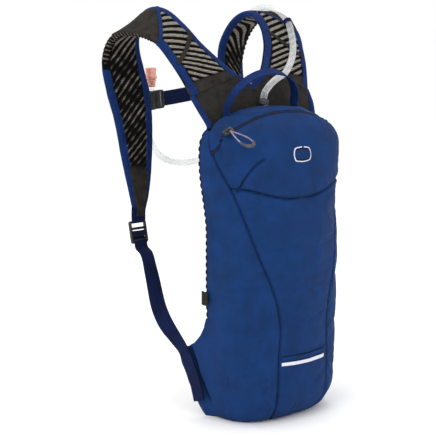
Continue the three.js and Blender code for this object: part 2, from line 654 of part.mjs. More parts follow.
function addSternum() {
  const upright = new THREE.Quaternion().setFromUnitVectors(v(0, 0, 1), RAIL_DIRECTION);
  for (const [side, sign] of [["left", -1], ["right", 1]]) {
    const length = 78;
    const foot = box(5, 7, 4).translate(0, -1.5, 0);
    const pole = rod(1.8, length, 10).rotateX(Math.PI / 2);
    const top = foot.clone().translate(0, 0, length / 2 - 1);
    const bottom = foot.clone().translate(0, 0, 1 - length / 2);
    const shape = join(pole, top, bottom).translate(0, 0, -RAIL_DROP);
    const rail = add(`sternum_rail_${side}`, shape, BLACK_ACETAL, sternumPoint(sign * RAIL_X, RAIL_LIFT));
    rail.quaternion.copy(upright);

    const clip = roundedRect(11, 9, 2);
    const bore = new THREE.Path();
    bore.absarc(0, 0, 2.4, 0, 2 * Math.PI, true);
    clip.holes.push(bore);
    const arm = box(6, 3, 20).translate(-sign * SLIDER_ARM, 1.5, 0);
    const slider = add(`sternum_slider_${side}`, join(plate(clip, 14, 4), arm), BLACK_ACETAL,
      sternumPoint(sign * RAIL_X, RAIL_LIFT));
    slider.quaternion.copy(upright);
  }

  const rise = v(0, 0, WEBBING_WIDTH / 2);
  const web = (from, to, fromLift, toLift) => {
    const line = [0, 0.25, 0.5, 0.75, 1].map((share) => {
      return sternumPoint(lerp(from, to, share), lerp(fromLift, toLift, smoothstep(share, 0, 1)));
    });
    return ribbon(line.map((p) => p.clone().sub(rise)), line.map((p) => p.clone().add(rise)),
      WEBBING_THICKNESS, 6);
  };
  add("sternum_webbing_right", web(PLUG_X + 9, 68.4, BUCKLE_LIFT, 8.5), NAVY_WEBBING);

  const place = (name, geometry, x, y = BUCKLE_LIFT) => {
    const mesh = add(name, geometry, BLACK_ACETAL, sternumPoint(x, y));
    mesh.rotation.set(Math.PI / 2, -Math.atan(STERNUM_RISE), 0, "YXZ");
  };
  const mouth = box(18, 17, 4.6).translate(3, 0, 0);
  const windows = box(7, 30, 4.6).translate(1, 0, 0);
  place("buckle_socket", cut(box(20, 25, 8), mouth, windows), SOCKET_X);
  const frame = roundedRect(16, 25, 3);
  frame.holes.push(slot(4, 21, 4, 0));
  place("buckle_plug", join(plate(frame, 5), box(14, 1.6, 3).translate(-14, 0, 0)), PLUG_X);
  const profile = [[-9, 3.6], [5, 3.6], [5, 7.4], [0.5, 7.4], [0.5, 13], [-3.5, 13], [-6, 7.4], [-9, 6.4]];
  for (const [name, sign] of [["buckle_prong_upper", 1], ["buckle_prong_lower", -1]]) {
    const finger = new THREE.Shape(profile.map(([x, y]) => new THREE.Vector2(x, sign * y)));
    place(name, plate(finger, 3.4), PRONG_X);
  }
  place("buckle_magnet", rod(5, 1.6, 12).rotateX(Math.PI / 2), PLUG_X - 2, BUCKLE_LIFT + 3.7);
}

// ---------------------------------------------------------------- drinking tube
// It leaves the port between crown and yoke, runs over the right shoulder pad and swings across the chest.
const HOSE_ROUTE = [
  v(4, 46, 406), v(7, 47, 413), v(16, 49, 421), v(30, 53, 428), v(46, 58, 433), v(60, 63, 437),
  v(74, 69, 447), v(86, 76, 458), v(96, 85, 471), v(103, 95, 486), v(108, 107, 502), v(111, 125, 515),
  v(113, 143, 521), v(113, 163, 522), v(112, 182, 516), v(110, 200, 503), v(107, 215, 482), v(104, 222, 457),
  v(102, 221, 430), v(101, 216, 404), v(99, 211, 378), v(94, 209, 352), v(84, 210, 333), v(68, 211, 320),
  v(48, 211, 312), v(25, 211, 308), v(0, 211, 309), v(-22, 208, 314), v(-38, 208, 324), v(-49, 210, 340),
  v(-53, 214, 358), v(-52, 218, 376), v(-47, 219.5, 394), v(-43, 219.5, 406), v(-41, 219.5, 413),
];
const PORT = v(4, 45.2, 402.2);
const VALVE = v(-41, 219.5, 414.6);

function lathe(profile, sides) {
  const points = profile.map(([x, y]) => new THREE.Vector2(x, y));
  return new THREE.LatheGeometry(points, sides).rotateX(Math.PI / 2);
}

function ring(inner, outer, length, sides = 14) {
  const half = length / 2;
  return lathe([[inner, -half], [outer, -half], [outer, half], [inner, half], [inner, -half]], sides);
}

function along(mesh, direction) {
  mesh.quaternion.setFromUnitVectors(v(0, 0, 1), direction.clone().normalize());
}

function addDrinkingTube() {
  add("hose", tube(HOSE_ROUTE, HOSE_DIAMETER / 2, HOSE_SIDES, 68), CLEAR_TUBE);
  along(add("hose_port", ring(4.9, 6.4, 5), GREY_RUBBER, PORT), v(0.1, 0.1, 1));
  along(add("keeper_ring", ring(4.9, 5.8, 7), BLACK_ACETAL, v(108, 107.2, 502.2)), v(4, 14.5, 14.5));
  along(add("hose_magnet_clip", ring(4.9, 6.2, 9), BLACK_ACETAL, v(-45.4, 219.5, 399)), v(0.33, 0, 1));

  add("bite_valve_body", lathe([[0, 0], [5.4, 0], [6.2, 2], [6.2, 7], [7.4, 8], [7.4, 10], [0, 10]], 14),
    SILICONE, VALVE);
  const tip = [[7.6, 7.6, 10.4], [7.8, 7.8, 14], [7, 6.2, 18], [8.6, 5, 23], [8.2, 4.6, 26]]
    .map(([a, b, z]) => superellipse(a, b, 2.2, 14, z));
  add("bite_valve_tip", loft(tip), SILICONE, VALVE);
}

// ---------------------------------------------------------------- inside the pack
function superellipse(a, b, power, count, z) {
  const ring = [];
  for (let i = 0; i < count; i++) {
    const angle = (i / count) * 2 * Math.PI;
    const c = Math.cos(angle);
    const s = Math.sin(angle);
    const x = a * Math.sign(c) * Math.abs(c) ** (2 / power);
    const y = b * Math.sign(s) * Math.abs(s) ** (2 / power);
    ring.push(v(x, y, z));
  }
  return ring;
}

const RESERVOIR_Y = 14;
const RESERVOIR_Z = 42;
const SLEEVE_Y = -15;
const OUTLET_Z = 84;

function addInside() {
  add("divider_sleeve", box(120, 1, 236), LINING, v(0, SLEEVE_Y, 170));
  const bag = [[0, 52, 4], [8, 66, 9], [40, 72, 15], [140, 73, 16], [220, 72, 13], [258, 70, 2.4],
    [278, 70, 2.2]];
  const rings = bag.map(([z, a, b]) => superellipse(a, b, 2.6, 20, z));
  add("reservoir", loft(rings), CLEAR_TUBE, v(0, RESERVOIR_Y, RESERVOIR_Z));

  const channel = [[-5, 8], [5, 8], [5, -8], [3, -8], [3, 5.5], [-3, 5.5], [-3, -8], [-5, -8]];
  const bar = new THREE.Shape(channel.map(([y, z]) => new THREE.Vector2(y, z)));
  const upright = new THREE.Matrix4().makeBasis(v(0, 1, 0), v(0, 0, 1), v(1, 0, 0));
  const seal = plate(bar, 146).applyMatrix4(upright);
  add("slide_seal_bar", seal, BLACK_ACETAL, v(0, RESERVOIR_Y, RESERVOIR_Z + 275));

  const disc = rod(9, 5, 14).translate(0, -6, 0);
  const nipple = rod(3.2, 12, 10).rotateX(Math.PI / 2).translate(0, -6, 8);
  add("outlet_elbow", join(disc, nipple), GREY_RUBBER, v(0, 0.4, OUTLET_Z));
  add("quick_connect_button", rod(3.6, 2.4, 12), BLACK_ACETAL, v(0, -11.4, OUTLET_Z - 3));
  const inner = [v(0, -6.2, OUTLET_Z + 15), v(0, -7.4, 122), v(0, -7.6, 200), v(0, -7.6, 280), v(1, -5, 325),
    v(2, 6, 352), v(3, 25, 374), v(3.4, 39, 388), v(3.8, 44, 397)];
  add("inner_hose", tube(inner, HOSE_DIAMETER / 2, HOSE_SIDES, 26), CLEAR_TUBE);

  add("reservoir_hanger", box(18, 1.6, 40), NAVY_WEBBING, v(-40, 22.4, 338));
  const hook = new THREE.Shape([[-6, 0], [6, 0], [6, 10], [3, 13], [-3, 13], [-6, 10]]
    .map(([x, y]) => new THREE.Vector2(x, y)));
  hook.holes.push(slot(7, 3, 0, 3.2));
  add("key_clip", plate(hook, 2.4).rotateX(Math.PI / 2), BLACK_ACETAL, v(30, -18.5, 262));
  add("key_hook", box(3, 1.8, 14), BLACK_ACETAL, v(30, -18.5, 252));
}

addBody();
addBackPanel();
addZip();
addZipPull();
addTrim();
addHarness();
addHaulLoop();
addAdjusters();
addSternum();
addDrinkingTube();
addInside();

export default pack;
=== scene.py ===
# %% [markdown]
# # A hydration pack
#
# A slim backpack with a curved harness and a drinking tube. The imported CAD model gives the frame:
# every piece below goes where its solid is, and this file adds the cloth, foam, webbing, moulded
# plastic and light. Lengths are written in millimetres, as a pack maker writes them, and turned to
# Blender's metres in one place.

# %% Load the frame
import math

import bpy
import numpy as np
from mathutils import Matrix, Vector


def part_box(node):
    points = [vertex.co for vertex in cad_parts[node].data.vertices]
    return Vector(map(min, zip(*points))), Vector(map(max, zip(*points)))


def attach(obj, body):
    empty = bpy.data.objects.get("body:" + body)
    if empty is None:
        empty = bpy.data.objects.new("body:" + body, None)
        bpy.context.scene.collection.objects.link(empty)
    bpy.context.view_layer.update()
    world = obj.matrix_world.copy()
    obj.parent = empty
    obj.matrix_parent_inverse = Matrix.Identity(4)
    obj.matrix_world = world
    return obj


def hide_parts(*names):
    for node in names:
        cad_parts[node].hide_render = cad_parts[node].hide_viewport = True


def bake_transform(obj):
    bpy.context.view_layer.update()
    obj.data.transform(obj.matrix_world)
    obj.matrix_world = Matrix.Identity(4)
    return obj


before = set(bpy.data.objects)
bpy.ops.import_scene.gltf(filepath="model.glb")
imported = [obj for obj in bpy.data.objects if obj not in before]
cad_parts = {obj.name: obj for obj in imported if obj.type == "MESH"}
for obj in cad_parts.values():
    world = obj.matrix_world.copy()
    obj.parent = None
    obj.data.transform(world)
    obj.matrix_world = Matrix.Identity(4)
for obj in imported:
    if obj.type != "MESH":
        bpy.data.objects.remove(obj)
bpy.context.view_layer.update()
MM = 0.001

# %% [markdown]
# ## Camera, floor and light
#
# The camera comes first, because the drinking tube has to fit its view. It looks at the pack's left
# front corner from just above, with a long lens, which keeps the upright edges parallel. A big soft lamp
# on the left lights the side panel more than the front, and the white room fills the shadows.

# %% Camera
def camera_axes(azimuth, elevation, roll):
    """The camera's right, up and backward directions, for angles in degrees."""
    turn, lift, tip = (math.radians(angle) for angle in (azimuth, elevation, roll))
    back = Vector((math.sin(turn) * math.cos(lift), -math.cos(turn) * math.cos(lift), math.sin(lift)))
    right = Vector((math.cos(turn), math.sin(turn), 0))
    up = back.cross(right)
    tipped = right * math.cos(tip) + up * math.sin(tip)
    return tipped, back.cross(tipped), back


CAMERA_TARGET = Vector((-71, 49, 259)) * MM
CAMERA_DISTANCE = 1600 * MM
CAMERA_ANGLES = (-42, 9.5, 0.2)  # azimuth, elevation and roll in degrees
CAMERA_LENS = 104.45
axes = camera_axes(*CAMERA_ANGLES)
bpy.ops.object.camera_add()
camera = bpy.context.object
camera_place = Matrix.Translation(CAMERA_TARGET + axes[2] * CAMERA_DISTANCE)
camera.matrix_world = camera_place @ Matrix(axes).transposed().to_4x4()
camera.data.lens = CAMERA_LENS
bpy.context.scene.camera = camera
print("camera at", [round(x, 3) for x in camera.location])


# %% [markdown]
# ## Materials
#
# Every finish is a small tree of nodes. One function turns the colours from sRGB hex to the linear
# values that the shader works in, and one adds a node, sets it up and links it.

# %% Colour and node helpers
def colour(hex_text):
    """A linear RGBA colour from an sRGB hex text such as #22417C."""
    channels = [int(hex_text[i : i + 2], 16) / 255 for i in (1, 3, 5)]
    linear = [c / 12.92 if c <= 0.04045 else ((c + 0.055) / 1.055) ** 2.4 for c in channels]
    return (*linear, 1.0)


def node(tree, kind, sockets=None, **settings):
    """Adds a node. settings are its properties, and sockets maps an input to a value or to a link."""
    made = tree.nodes.new(kind)
    for name, value in settings.items():
        setattr(made, name, value)
    for name, value in (sockets or {}).items():
        if isinstance(value, bpy.types.NodeSocket):
            tree.links.new(value, made.inputs[name])
        else:
            made.inputs[name].default_value = value
    return made


def new_material(name):
    """An empty material and its tree."""
    material = bpy.data.materials.new(name)
    material.use_nodes = True
    material.node_tree.nodes.clear()
    return material, material.node_tree


def principled(tree, sockets):
    """Blender's general shader, as the material's surface."""
    shader = node(tree, "ShaderNodeBsdfPrincipled", sockets)
    node(tree, "ShaderNodeOutputMaterial", {"Surface": shader.outputs["BSDF"]})


def ramp(tree, factor, *stops):
    """A colour ramp over factor; each stop is its position and its colour as hex text."""
    made = node(tree, "ShaderNodeValToRGB", {"Fac": factor})
    elements = made.color_ramp.elements
    while len(elements) < len(stops):
        elements.new(0.5)
    for element, (position, hex_text) in zip(elements, stops, strict=True):
        element.position = position
        element.color = colour(hex_text)
    return made.outputs["Color"]


def mix_colours(tree, factor, first, second, blend="MIX"):
    """Two colours mixed. The node names its sockets alike for each kind, so colours go in by place."""
    made = node(tree, "ShaderNodeMix", {"Factor": factor, 6: first, 7: second}, data_type="RGBA",
                blend_type=blend)
    return made.outputs[2]


def maths(tree, operation, *values):
    """One step of arithmetic on numbers or links."""
    return node(tree, "ShaderNodeMath", dict(enumerate(values)), operation=operation).outputs[0]


def map_range(tree, value, source, target):
    """A value carried from one (low, high) range to another."""
    return node(
        tree, "ShaderNodeMapRange",
        {"Value": value, "From Min": source[0], "From Max": source[1], "To Min": target[0],
         "To Max": target[1]},
    ).outputs["Result"]


def attribute(tree, name):
    return node(tree, "ShaderNodeAttribute", attribute_name=name).outputs["Fac"]


def object_place(tree):
    return node(tree, "ShaderNodeTexCoord").outputs["Object"]


def noise(tree, size, detail, roughness=0.5):
    """Cloudy patches about size mm wide."""
    return node(
        tree, "ShaderNodeTexNoise",
        {"Vector": object_place(tree), "Scale": 1 / (size * MM), "Detail": detail, "Roughness": roughness},
    ).outputs["Fac"]


def cells(tree, size, randomness=1.0):
    """The distance from the middle of the nearest cell, for cells size mm wide."""
    return node(
        tree, "ShaderNodeTexVoronoi",
        {"Vector": object_place(tree), "Scale": 1 / (size * MM), "Randomness": randomness},
    ).outputs["Distance"]


def bump(tree, height, strength, depth):
    """A bumped surface direction; depth is in mm."""
    sockets = {"Height": height, "Strength": strength, "Distance": depth * MM}
    return node(tree, "ShaderNodeBump", sockets).outputs["Normal"]


# %% [markdown]
# ### Woven cloth
#
# Pack cloth, webbing, grosgrain and knit are all threads crossing each other. Two wave patterns at
# right angles make the crossing, on a UV map whose unit is the metre, so that the threads follow the
# piece as it curves. A real pack cloth has a thread every 0.3 mm, which is too fine to show here, so
# each weave is drawn as coarse as it needs to be seen. A slow noise makes the cloth uneven, as dye and
# handling do. Where a piece carries an attribute named sewn, the cloth is darker: that is the thread,
# and painted shade in the valleys of seams and folds.

# %% Woven cloth materials
def woven(name, light, dark, thread, relief, roughness, sheen=0.0, mottle=30, twill=0.0):
    """Cloth of two crossing threads. thread is (across, along) and mottle the patches' size, in mm."""
    material, tree = new_material(name)
    weave = node(tree, "ShaderNodeUVMap", uv_map="cloth").outputs["UV"]
    turned = node(tree, "ShaderNodeMapping", {"Vector": weave, "Rotation": (0, 0, twill)})
    bands = [
        node(
            tree, "ShaderNodeTexWave",
            {"Vector": turned.outputs["Vector"], "Scale": math.pi / (10 * pitch * MM), "Distortion": 0.6,
             "Detail": 1.0, "Detail Scale": 2.0},
            bands_direction=axis,
        ).outputs["Fac"]
        for axis, pitch in zip("XY", thread, strict=True)
    ]
    crossing = maths(tree, "MULTIPLY", *bands)
    patches = noise(tree, mottle, 4.0, 0.6)
    both = maths(tree, "ADD", maths(tree, "MULTIPLY", crossing, 0.35), patches)
    tint = ramp(tree, both, (0.35, dark), (0.85, light))
    # Painted shade: the sewn attribute darkens the colour in seams, folds and along patch edges, together
    # with the thread of the seams.
    shadow = ramp(tree, attribute(tree, "sewn"), (0.0, "#FFFFFF"), (1.0, "#4A4A55"))
    principled(tree, {
        "Base Color": mix_colours(tree, 1.0, tint, shadow, "MULTIPLY"),
        "Roughness": map_range(tree, patches, (0.3, 0.7), (roughness - 0.06, roughness + 0.06)),
        "Normal": bump(tree, crossing, relief, 0.3), "IOR": 1.5, "Specular IOR Level": 0.1,
        "Sheen Weight": sheen, "Sheen Roughness": 0.45, "Sheen Tint": colour(light),
    })
    return material


# Nylon pack cloth: a close plain weave with a dry coating, so it is matt.
PACK_CLOTH = woven("blue_nylon_pack_cloth", "#12366C", "#0C2850", (1.1, 1.1), 0.25, 0.7)
# Polyester strap webbing: stout ribs across it, drawn at their real 1.6 mm.
WEBBING = woven("navy_polyester_webbing", "#111D46", "#0A122C", (5.0, 1.6), 0.9, 0.8, mottle=14)
# Grosgrain binding tape: fine ribs across the tape.
GROSGRAIN = woven("blue_grosgrain_tape", "#122F66", "#0B1D46", (4.0, 1.4), 0.9, 0.75, mottle=12)
# Brushed polyester knit on the yoke and the strap patches: a soft nap, drawn as a 1.3 mm stitch.
KNIT = woven("charcoal_brushed_knit", "#312F2B", "#1F1D1B", (1.3, 1.3), 0.5, 0.95, mottle=10, twill=0.7)
# Coated nylon taffeta lining, grey so that what is in the pocket can be seen, with a faint sheen.
LINING = woven("grey_taffeta_lining", "#7C8592", "#646D7A", (1.0, 1.0), 0.2, 0.6, sheen=0.1)
print("woven materials", [m.name for m in (PACK_CLOTH, WEBBING, GROSGRAIN, KNIT, LINING)])


# %% [markdown]
# ### Foam under mesh
#
# The straps and the back are foam with slits cut through it, under a black spacer mesh. The bars
# between the slits stand up and catch the light, and the slits stay black. The pieces carry that
# height as an attribute named rib, and another, patch, where plain knit is sewn over the foam.

# %% Foam and mesh material
def foam_mesh(name):
    """Bars of foam in black slits, seen through a mesh of 2.2 mm holes, worn in patches. Their colour is
    painted light: a painted highlight towards each bar's crest and painted shade in the slits.
    """
    material, tree = new_material(name)
    holes = cells(tree, 2.2, 0.3)
    wear = noise(tree, 9, 3.0)
    height = maths(tree, "ADD", attribute(tree, "rib"), maths(tree, "MULTIPLY_ADD", wear, 0.45, -0.22))
    # Painted light: the bars' height is turned into colour, pale on the crests as a painted highlight and
    # black in the slits as painted shade.
    foam = ramp(tree, height, (0.3, "#070706"), (0.62, "#1A1815"), (0.96, "#8A847A"))
    dots = ramp(tree, holes, (0.25, "#8F8F8F"), (0.6, "#FFFFFF"))
    meshed = mix_colours(tree, 0.8, foam, dots, "MULTIPLY")
    knit = ramp(tree, wear, (0.3, "#221F1D"), (0.7, "#312E2A"))
    principled(tree, {
        "Base Color": mix_colours(tree, attribute(tree, "patch"), meshed, knit), "Roughness": 0.9,
        "Normal": bump(tree, holes, 0.6, 0.4), "Specular IOR Level": 0.1,
    })
    return material


FOAM = foam_mesh("black_spacer_mesh_over_slit_foam")
print("foam material", FOAM.name)


# %% [markdown]
# ### Moulded, clear and reflective finishes
#
# The buckles are acetal, a hard slippery plastic that comes out of its mould with a fine grain and
# is scuffed a little paler by use. The tube is clear polyurethane, which shows at its edges and
# almost vanishes in the middle. The bite valve is soft silicone, which light goes into.

# %% Plastic and rubber
def moulded(name, light, dark, roughness, grain, coat=0.0, subsurface=0.0):
    """A moulded material with a fine grain of that size in mm and patchy wear."""
    material, tree = new_material(name)
    wear = noise(tree, 6, 5.0)
    principled(tree, {
        "Base Color": ramp(tree, wear, (0.35, dark), (0.75, light)),
        "Roughness": map_range(tree, wear, (0.3, 0.7), (roughness - 0.05, roughness + 0.1)),
        "Normal": bump(tree, noise(tree, grain, 2.0), 0.25, 0.1), "IOR": 1.48,
        "Coat Weight": coat, "Coat Roughness": 0.2, "Subsurface Weight": subsurface,
        "Subsurface Scale": 3 * MM, "Subsurface Radius": (1.0, 0.5, 0.35),
    })
    return material


ACETAL = moulded("black_moulded_acetal", "#2A2A2D", "#161618", 0.42, 0.8)
RUBBER = moulded("grey_moulded_rubber", "#4C4F57", "#33353B", 0.6, 0.6)
SILICONE = moulded("salmon_silicone", "#FFC9B8", "#F2A08C", 0.3, 1.5, coat=0.2, subsurface=0.6)
COIL = moulded("navy_black_zip_coil", "#0B1028", "#06080F", 0.7, 0.5)
CORD_SKIN = moulded("mauve_grey_braided_cord", "#A79CB4", "#6E6678", 0.7, 0.5)


def clear_film(name, edge, middle, tint):
    """A clear wall: edge and middle are how much of it shows, seen edge-on and face-on."""
    material, tree = new_material(name)
    facing = node(tree, "ShaderNodeLayerWeight", {"Blend": 0.35}).outputs["Facing"]
    tinted = ramp(tree, noise(tree, 14, 2.0), (0.3, tint), (0.7, "#FFFFFF"))
    wall = node(
        tree, "ShaderNodeBsdfPrincipled",
        {"Base Color": tinted, "Roughness": 0.12, "IOR": 1.5, "Specular IOR Level": 0.6},
    )
    through = node(tree, "ShaderNodeBsdfTransparent", {"Color": colour("#FFFFFF")})
    mixed = node(
        tree, "ShaderNodeMixShader",
        {"Fac": map_range(tree, facing, (0, 1), (middle, edge)), 1: through.outputs["BSDF"],
         2: wall.outputs["BSDF"]},
    )
    node(tree, "ShaderNodeOutputMaterial", {"Surface": mixed.outputs["Shader"]})
    return material


CLEAR_TUBE = clear_film("clear_polyurethane_tube", 0.75, 0.14, "#D5DADF")
BAG_FILM = clear_film("clear_blue_reservoir_film", 0.8, 0.4, "#B8CBE0")
print("moulded and clear materials ready")


# %% Reflective tape and floor
def glass_bead_tape(name):
    """Silver tape with glass beads in it, drawn as cells 0.9 mm wide."""
    material, tree = new_material(name)
    tint = ramp(tree, cells(tree, 0.9), (0.1, "#E9EAF5"), (0.8, "#C2C4D2"))
    principled(tree, {
        "Base Color": tint, "Metallic": 0.25, "Roughness": 0.35, "Coat Weight": 0.4, "Coat Roughness": 0.15,
    })
    return material


REFLECTIVE = glass_bead_tape("silver_glass_bead_tape")
FLOOR_SIZE = 60
FLOOR_DROP = -0.0002  # metres below the pack's base, so that the two faces don't coincide


def studio_floor():
    """A white floor wide enough to fill the view."""
    material, tree = new_material("white_studio_floor")
    principled(tree, {"Base Color": colour("#FFFFFF"), "Roughness": 1.0, "Specular IOR Level": 0.0})
    bpy.ops.mesh.primitive_plane_add(size=FLOOR_SIZE, location=(0, 0, FLOOR_DROP))
    floor = bpy.context.object
    floor.name = "floor"
    floor.data.materials.append(material)


def lamp(name, place, aim, size, watts):
    """A soft square lamp at place that points at aim, both in metres."""
    bpy.ops.object.light_add(type="AREA", location=place)
    made = bpy.context.object
    made.name = name
    made.data.size = size
    made.data.energy = watts
    made.rotation_euler = (Vector(place) - Vector(aim)).to_track_quat("Z", "Y").to_euler()


studio_floor()
world = bpy.data.worlds.new("white_room")
bpy.context.scene.world = world
world.use_nodes = True
background = world.node_tree.nodes["Background"].inputs
background["Color"].default_value = colour("#FFFFFF")
background["Strength"].default_value = 1.0
bpy.context.scene.view_settings.view_transform = "Standard"
lamp("key_lamp", (-2.4, -0.7, 1.9), (0, 0, 0.25), 1.4, 26)
lamp("front_lamp", (0.6, -2.4, 1.6), (0, 0, 0.25), 1.8, 6)
lamp("top_lamp", (0.2, 0.3, 2.4), (0, 0.05, 0.2), 1.6, 12)


# %% [markdown]
# ## Modelling helpers
#
# A sewn piece is a flat cut that gets laid over a shape. So each one starts as a flat grid, whose
# points are then placed by a function of their two shares, s across and t along. The grid's UV map
# is rewritten in metres for the weave. A rod, cord or pad starts as rings of points instead, which
# are bridged into a closed skin.

# %% Making meshes
def deselect():
    for other in bpy.context.selected_objects:
        other.select_set(False)


def activate(piece):
    deselect()
    piece.select_set(True)
    bpy.context.view_layer.objects.active = piece


def edit(piece, *operations):
    """Runs mesh operations, each with its settings, on all of a piece."""
    activate(piece)
    bpy.ops.object.mode_set(mode="EDIT")
    for operation, settings in operations:
        bpy.ops.mesh.select_all(action="SELECT")
        operation(**settings)
    bpy.ops.object.mode_set(mode="OBJECT")


def modify(piece, kind, **settings):
    """Adds a modifier and applies it."""
    modifier = piece.modifiers.new(kind.lower(), kind)
    for name, value in settings.items():
        setattr(modifier, name, value)
    activate(piece)
    bpy.ops.object.modifier_apply(modifier=modifier.name)


def smooth(piece, angle=180):
    activate(piece)
    bpy.ops.object.shade_smooth_by_angle(angle=math.radians(angle))


def finish(piece, material, body, *nodes, slot=None):
    """Dresses a finished piece, lets it ride on its body, if that is one, and stand for its CAD nodes."""
    piece.data.materials.clear()
    piece.data.materials.append(material)
    if body:
        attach(piece, body)
    if nodes:
        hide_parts(*nodes)
    return piece


def points_of(piece):
    """A piece's points in mm."""
    return np.array([vertex.co for vertex in piece.data.vertices]) / MM


def read_uv(piece):
    """The weave's place at each face corner."""
    uv = np.empty(len(piece.data.loops) * 2)
    piece.data.uv_layers["cloth"].data.foreach_get("uv", uv)
    return uv.reshape(-1, 2)


def write_uv(piece, uv):
    piece.data.uv_layers["cloth"].data.foreach_set("uv", uv.ravel())


def uv_at_points(piece):
    """The weave's place at each point."""
    corners = np.empty(len(piece.data.loops), np.int32)
    piece.data.loops.foreach_get("vertex_index", corners)
    uv = np.zeros((len(piece.data.vertices), 2))
    uv[corners] = read_uv(piece)
    return uv


def cloth_grid(name, columns, rows, place, size):
    """A flat grid laid over a shape. place(s, t) takes and gives arrays, in mm, and size is the cut's
    width and height in mm, which the weave follows."""
    deselect()
    bpy.ops.mesh.primitive_grid_add(x_subdivisions=columns, y_subdivisions=rows, size=1)
    piece = bpy.context.object
    piece.name = name
    mesh = piece.data
    flat = np.empty(len(mesh.vertices) * 3)
    mesh.vertices.foreach_get("co", flat)
    s, t = (flat.reshape(-1, 3)[:, :2] + 0.5).T
    mesh.vertices.foreach_set("co", (place(s, t) * MM).ravel())
    mesh.uv_layers.active.name = "cloth"
    write_uv(piece, read_uv(piece) * np.array(size) * MM)
    mesh.update()
    return piece


def write_attribute(piece, name, values):
    attribute = piece.data.attributes.new(name, "FLOAT", "POINT")
    attribute.data.foreach_set("value", np.asarray(values, np.float32))


def thicken(piece, thickness, rim=0.0):
    """Gives a sheet its thickness on the side that its faces point away from."""
    modify(piece, "SOLIDIFY", thickness=thickness * MM, offset=-1, use_even_offset=False)
    if rim:
        modify(piece, "BEVEL", width=rim * MM, segments=2, limit_method="ANGLE", angle_limit=math.radians(60))
    smooth(piece, 60)


def mesh_piece(name, points, faces):
    """A piece from points in mm and faces that number them."""
    mesh = bpy.data.meshes.new(name)
    mesh.from_pydata((points * MM).tolist(), [], faces)
    piece = bpy.data.objects.new(name, mesh)
    bpy.context.collection.objects.link(piece)
    return piece


def ring_skin(name, rings):
    """A closed skin through rings of points in mm, an array of rings x points x 3. Its ends are filled,
    and its weave runs round and along it in metres."""
    count, around = rings.shape[:2]
    faces = []
    for r in range(count - 1):
        for i in range(around):
            j = (i + 1) % around
            faces.append((r * around + i, r * around + j, (r + 1) * around + j, (r + 1) * around + i))
    faces.append(tuple(reversed(range(around))))
    faces.append(tuple((count - 1) * around + i for i in range(around)))
    piece = mesh_piece(name, rings.reshape(-1, 3), faces)
    girth = np.linalg.norm(np.diff(rings, axis=1, append=rings[:, :1]), axis=2)
    length = np.linalg.norm(np.diff(rings.mean(axis=1), axis=0, prepend=rings[:1].mean(axis=1)), axis=1)
    along = np.cumsum(length) * MM
    round_to = np.concatenate([np.zeros((count, 1)), np.cumsum(girth, axis=1)], axis=1) * MM
    layer = piece.data.uv_layers.new(name="cloth")
    at = 0
    for r in range(count - 1):
        for i in range(around):
            for ring, point in ((r, i), (r, i + 1), (r + 1, i + 1), (r + 1, i)):
                layer.data[at].uv = (round_to[ring, point], along[ring])
                at += 1
    piece.data.update()
    edit(piece, (bpy.ops.mesh.normals_make_consistent, {"inside": False}))
    return piece


def step(value, low, high):
    """0 below low and 1 above high, with a smooth rise between."""
    t = np.clip((np.asarray(value, float) - low) / (high - low), 0, 1)
    return t * t * (3 - 2 * t)


print("helpers ready")


# %% [markdown]
# ### Curves through points
#
# The straps and the tube follow a few given points. This curve goes through
# all of them, with its speed set by the square root of the distance between them, so that close
# points don't make it overshoot. The CAD model draws its curves the same way, so both agree.

# %% A curve through points
def curve_through(points, t):
    """Points on a centripetal Catmull-Rom curve at the shares t of its list."""
    knots = np.asarray(points, float)
    knots = np.vstack([2 * knots[0] - knots[1], knots, 2 * knots[-1] - knots[-2]])
    spans = len(knots) - 3
    at = np.clip(np.asarray(t, float), 0, 1) * spans
    index = np.minimum(at.astype(int), spans - 1)
    w = (at - index)[:, None]
    before, start, end, after = (knots[index + i] for i in range(4))
    gap = [np.sqrt(np.linalg.norm(b - a, axis=1))[:, None] for a, b in
           ((before, start), (start, end), (end, after))]
    leave = (start - before) / gap[0] - (end - before) / (gap[0] + gap[1]) + (end - start) / gap[1]
    arrive = (end - start) / gap[1] - (after - start) / (gap[1] + gap[2]) + (after - end) / gap[2]
    leave, arrive = leave * gap[1], arrive * gap[1]
    return (start + leave * w + (3 * (end - start) - 2 * leave - arrive) * w**2
            + (2 * (start - end) + leave + arrive) * w**3)


def unit(vectors):
    return vectors / np.linalg.norm(vectors, axis=-1, keepdims=True)


def tangents(line):
    return unit(np.gradient(line, axis=0))


def running_length(line):
    """How far along its line each point lies."""
    return np.concatenate([[0], np.cumsum(np.linalg.norm(np.diff(line, axis=0), axis=1))])


def round_rod(name, line, radius, sides=12, flat=1.0, up=(0, 0, 1), taper=None):
    """A rod along a line. flat squeezes its section along the second direction, and taper scales it."""
    forward = tangents(line)
    side = unit(np.cross(forward, np.asarray(up, float)))
    top = np.cross(side, forward)
    angles = np.linspace(0, 2 * np.pi, sides, endpoint=False)
    size = (np.ones(len(line)) if taper is None else taper)[:, None, None] * radius
    rings = line[:, None] + size * (
        np.cos(angles)[None, :, None] * side[:, None] + flat * np.sin(angles)[None, :, None] * top[:, None])
    piece = ring_skin(name, rings)
    smooth(piece, 60)
    return piece


print("curve check", curve_through([(0, 0, 0), (1, 0, 0), (2, 1, 0)], [0.5]).round(2).tolist())

# %% [markdown]
# ## The drinking tube
#
# The tube is 9 mm polyurethane hose. It comes out of a rubber port at the top of the pack, goes over
# the right shoulder under a small elastic keeper, hangs across the chest in one loop and ends in the
# bite valve, which a magnet clip holds to the sternum strap. The route is the CAD tube's own.

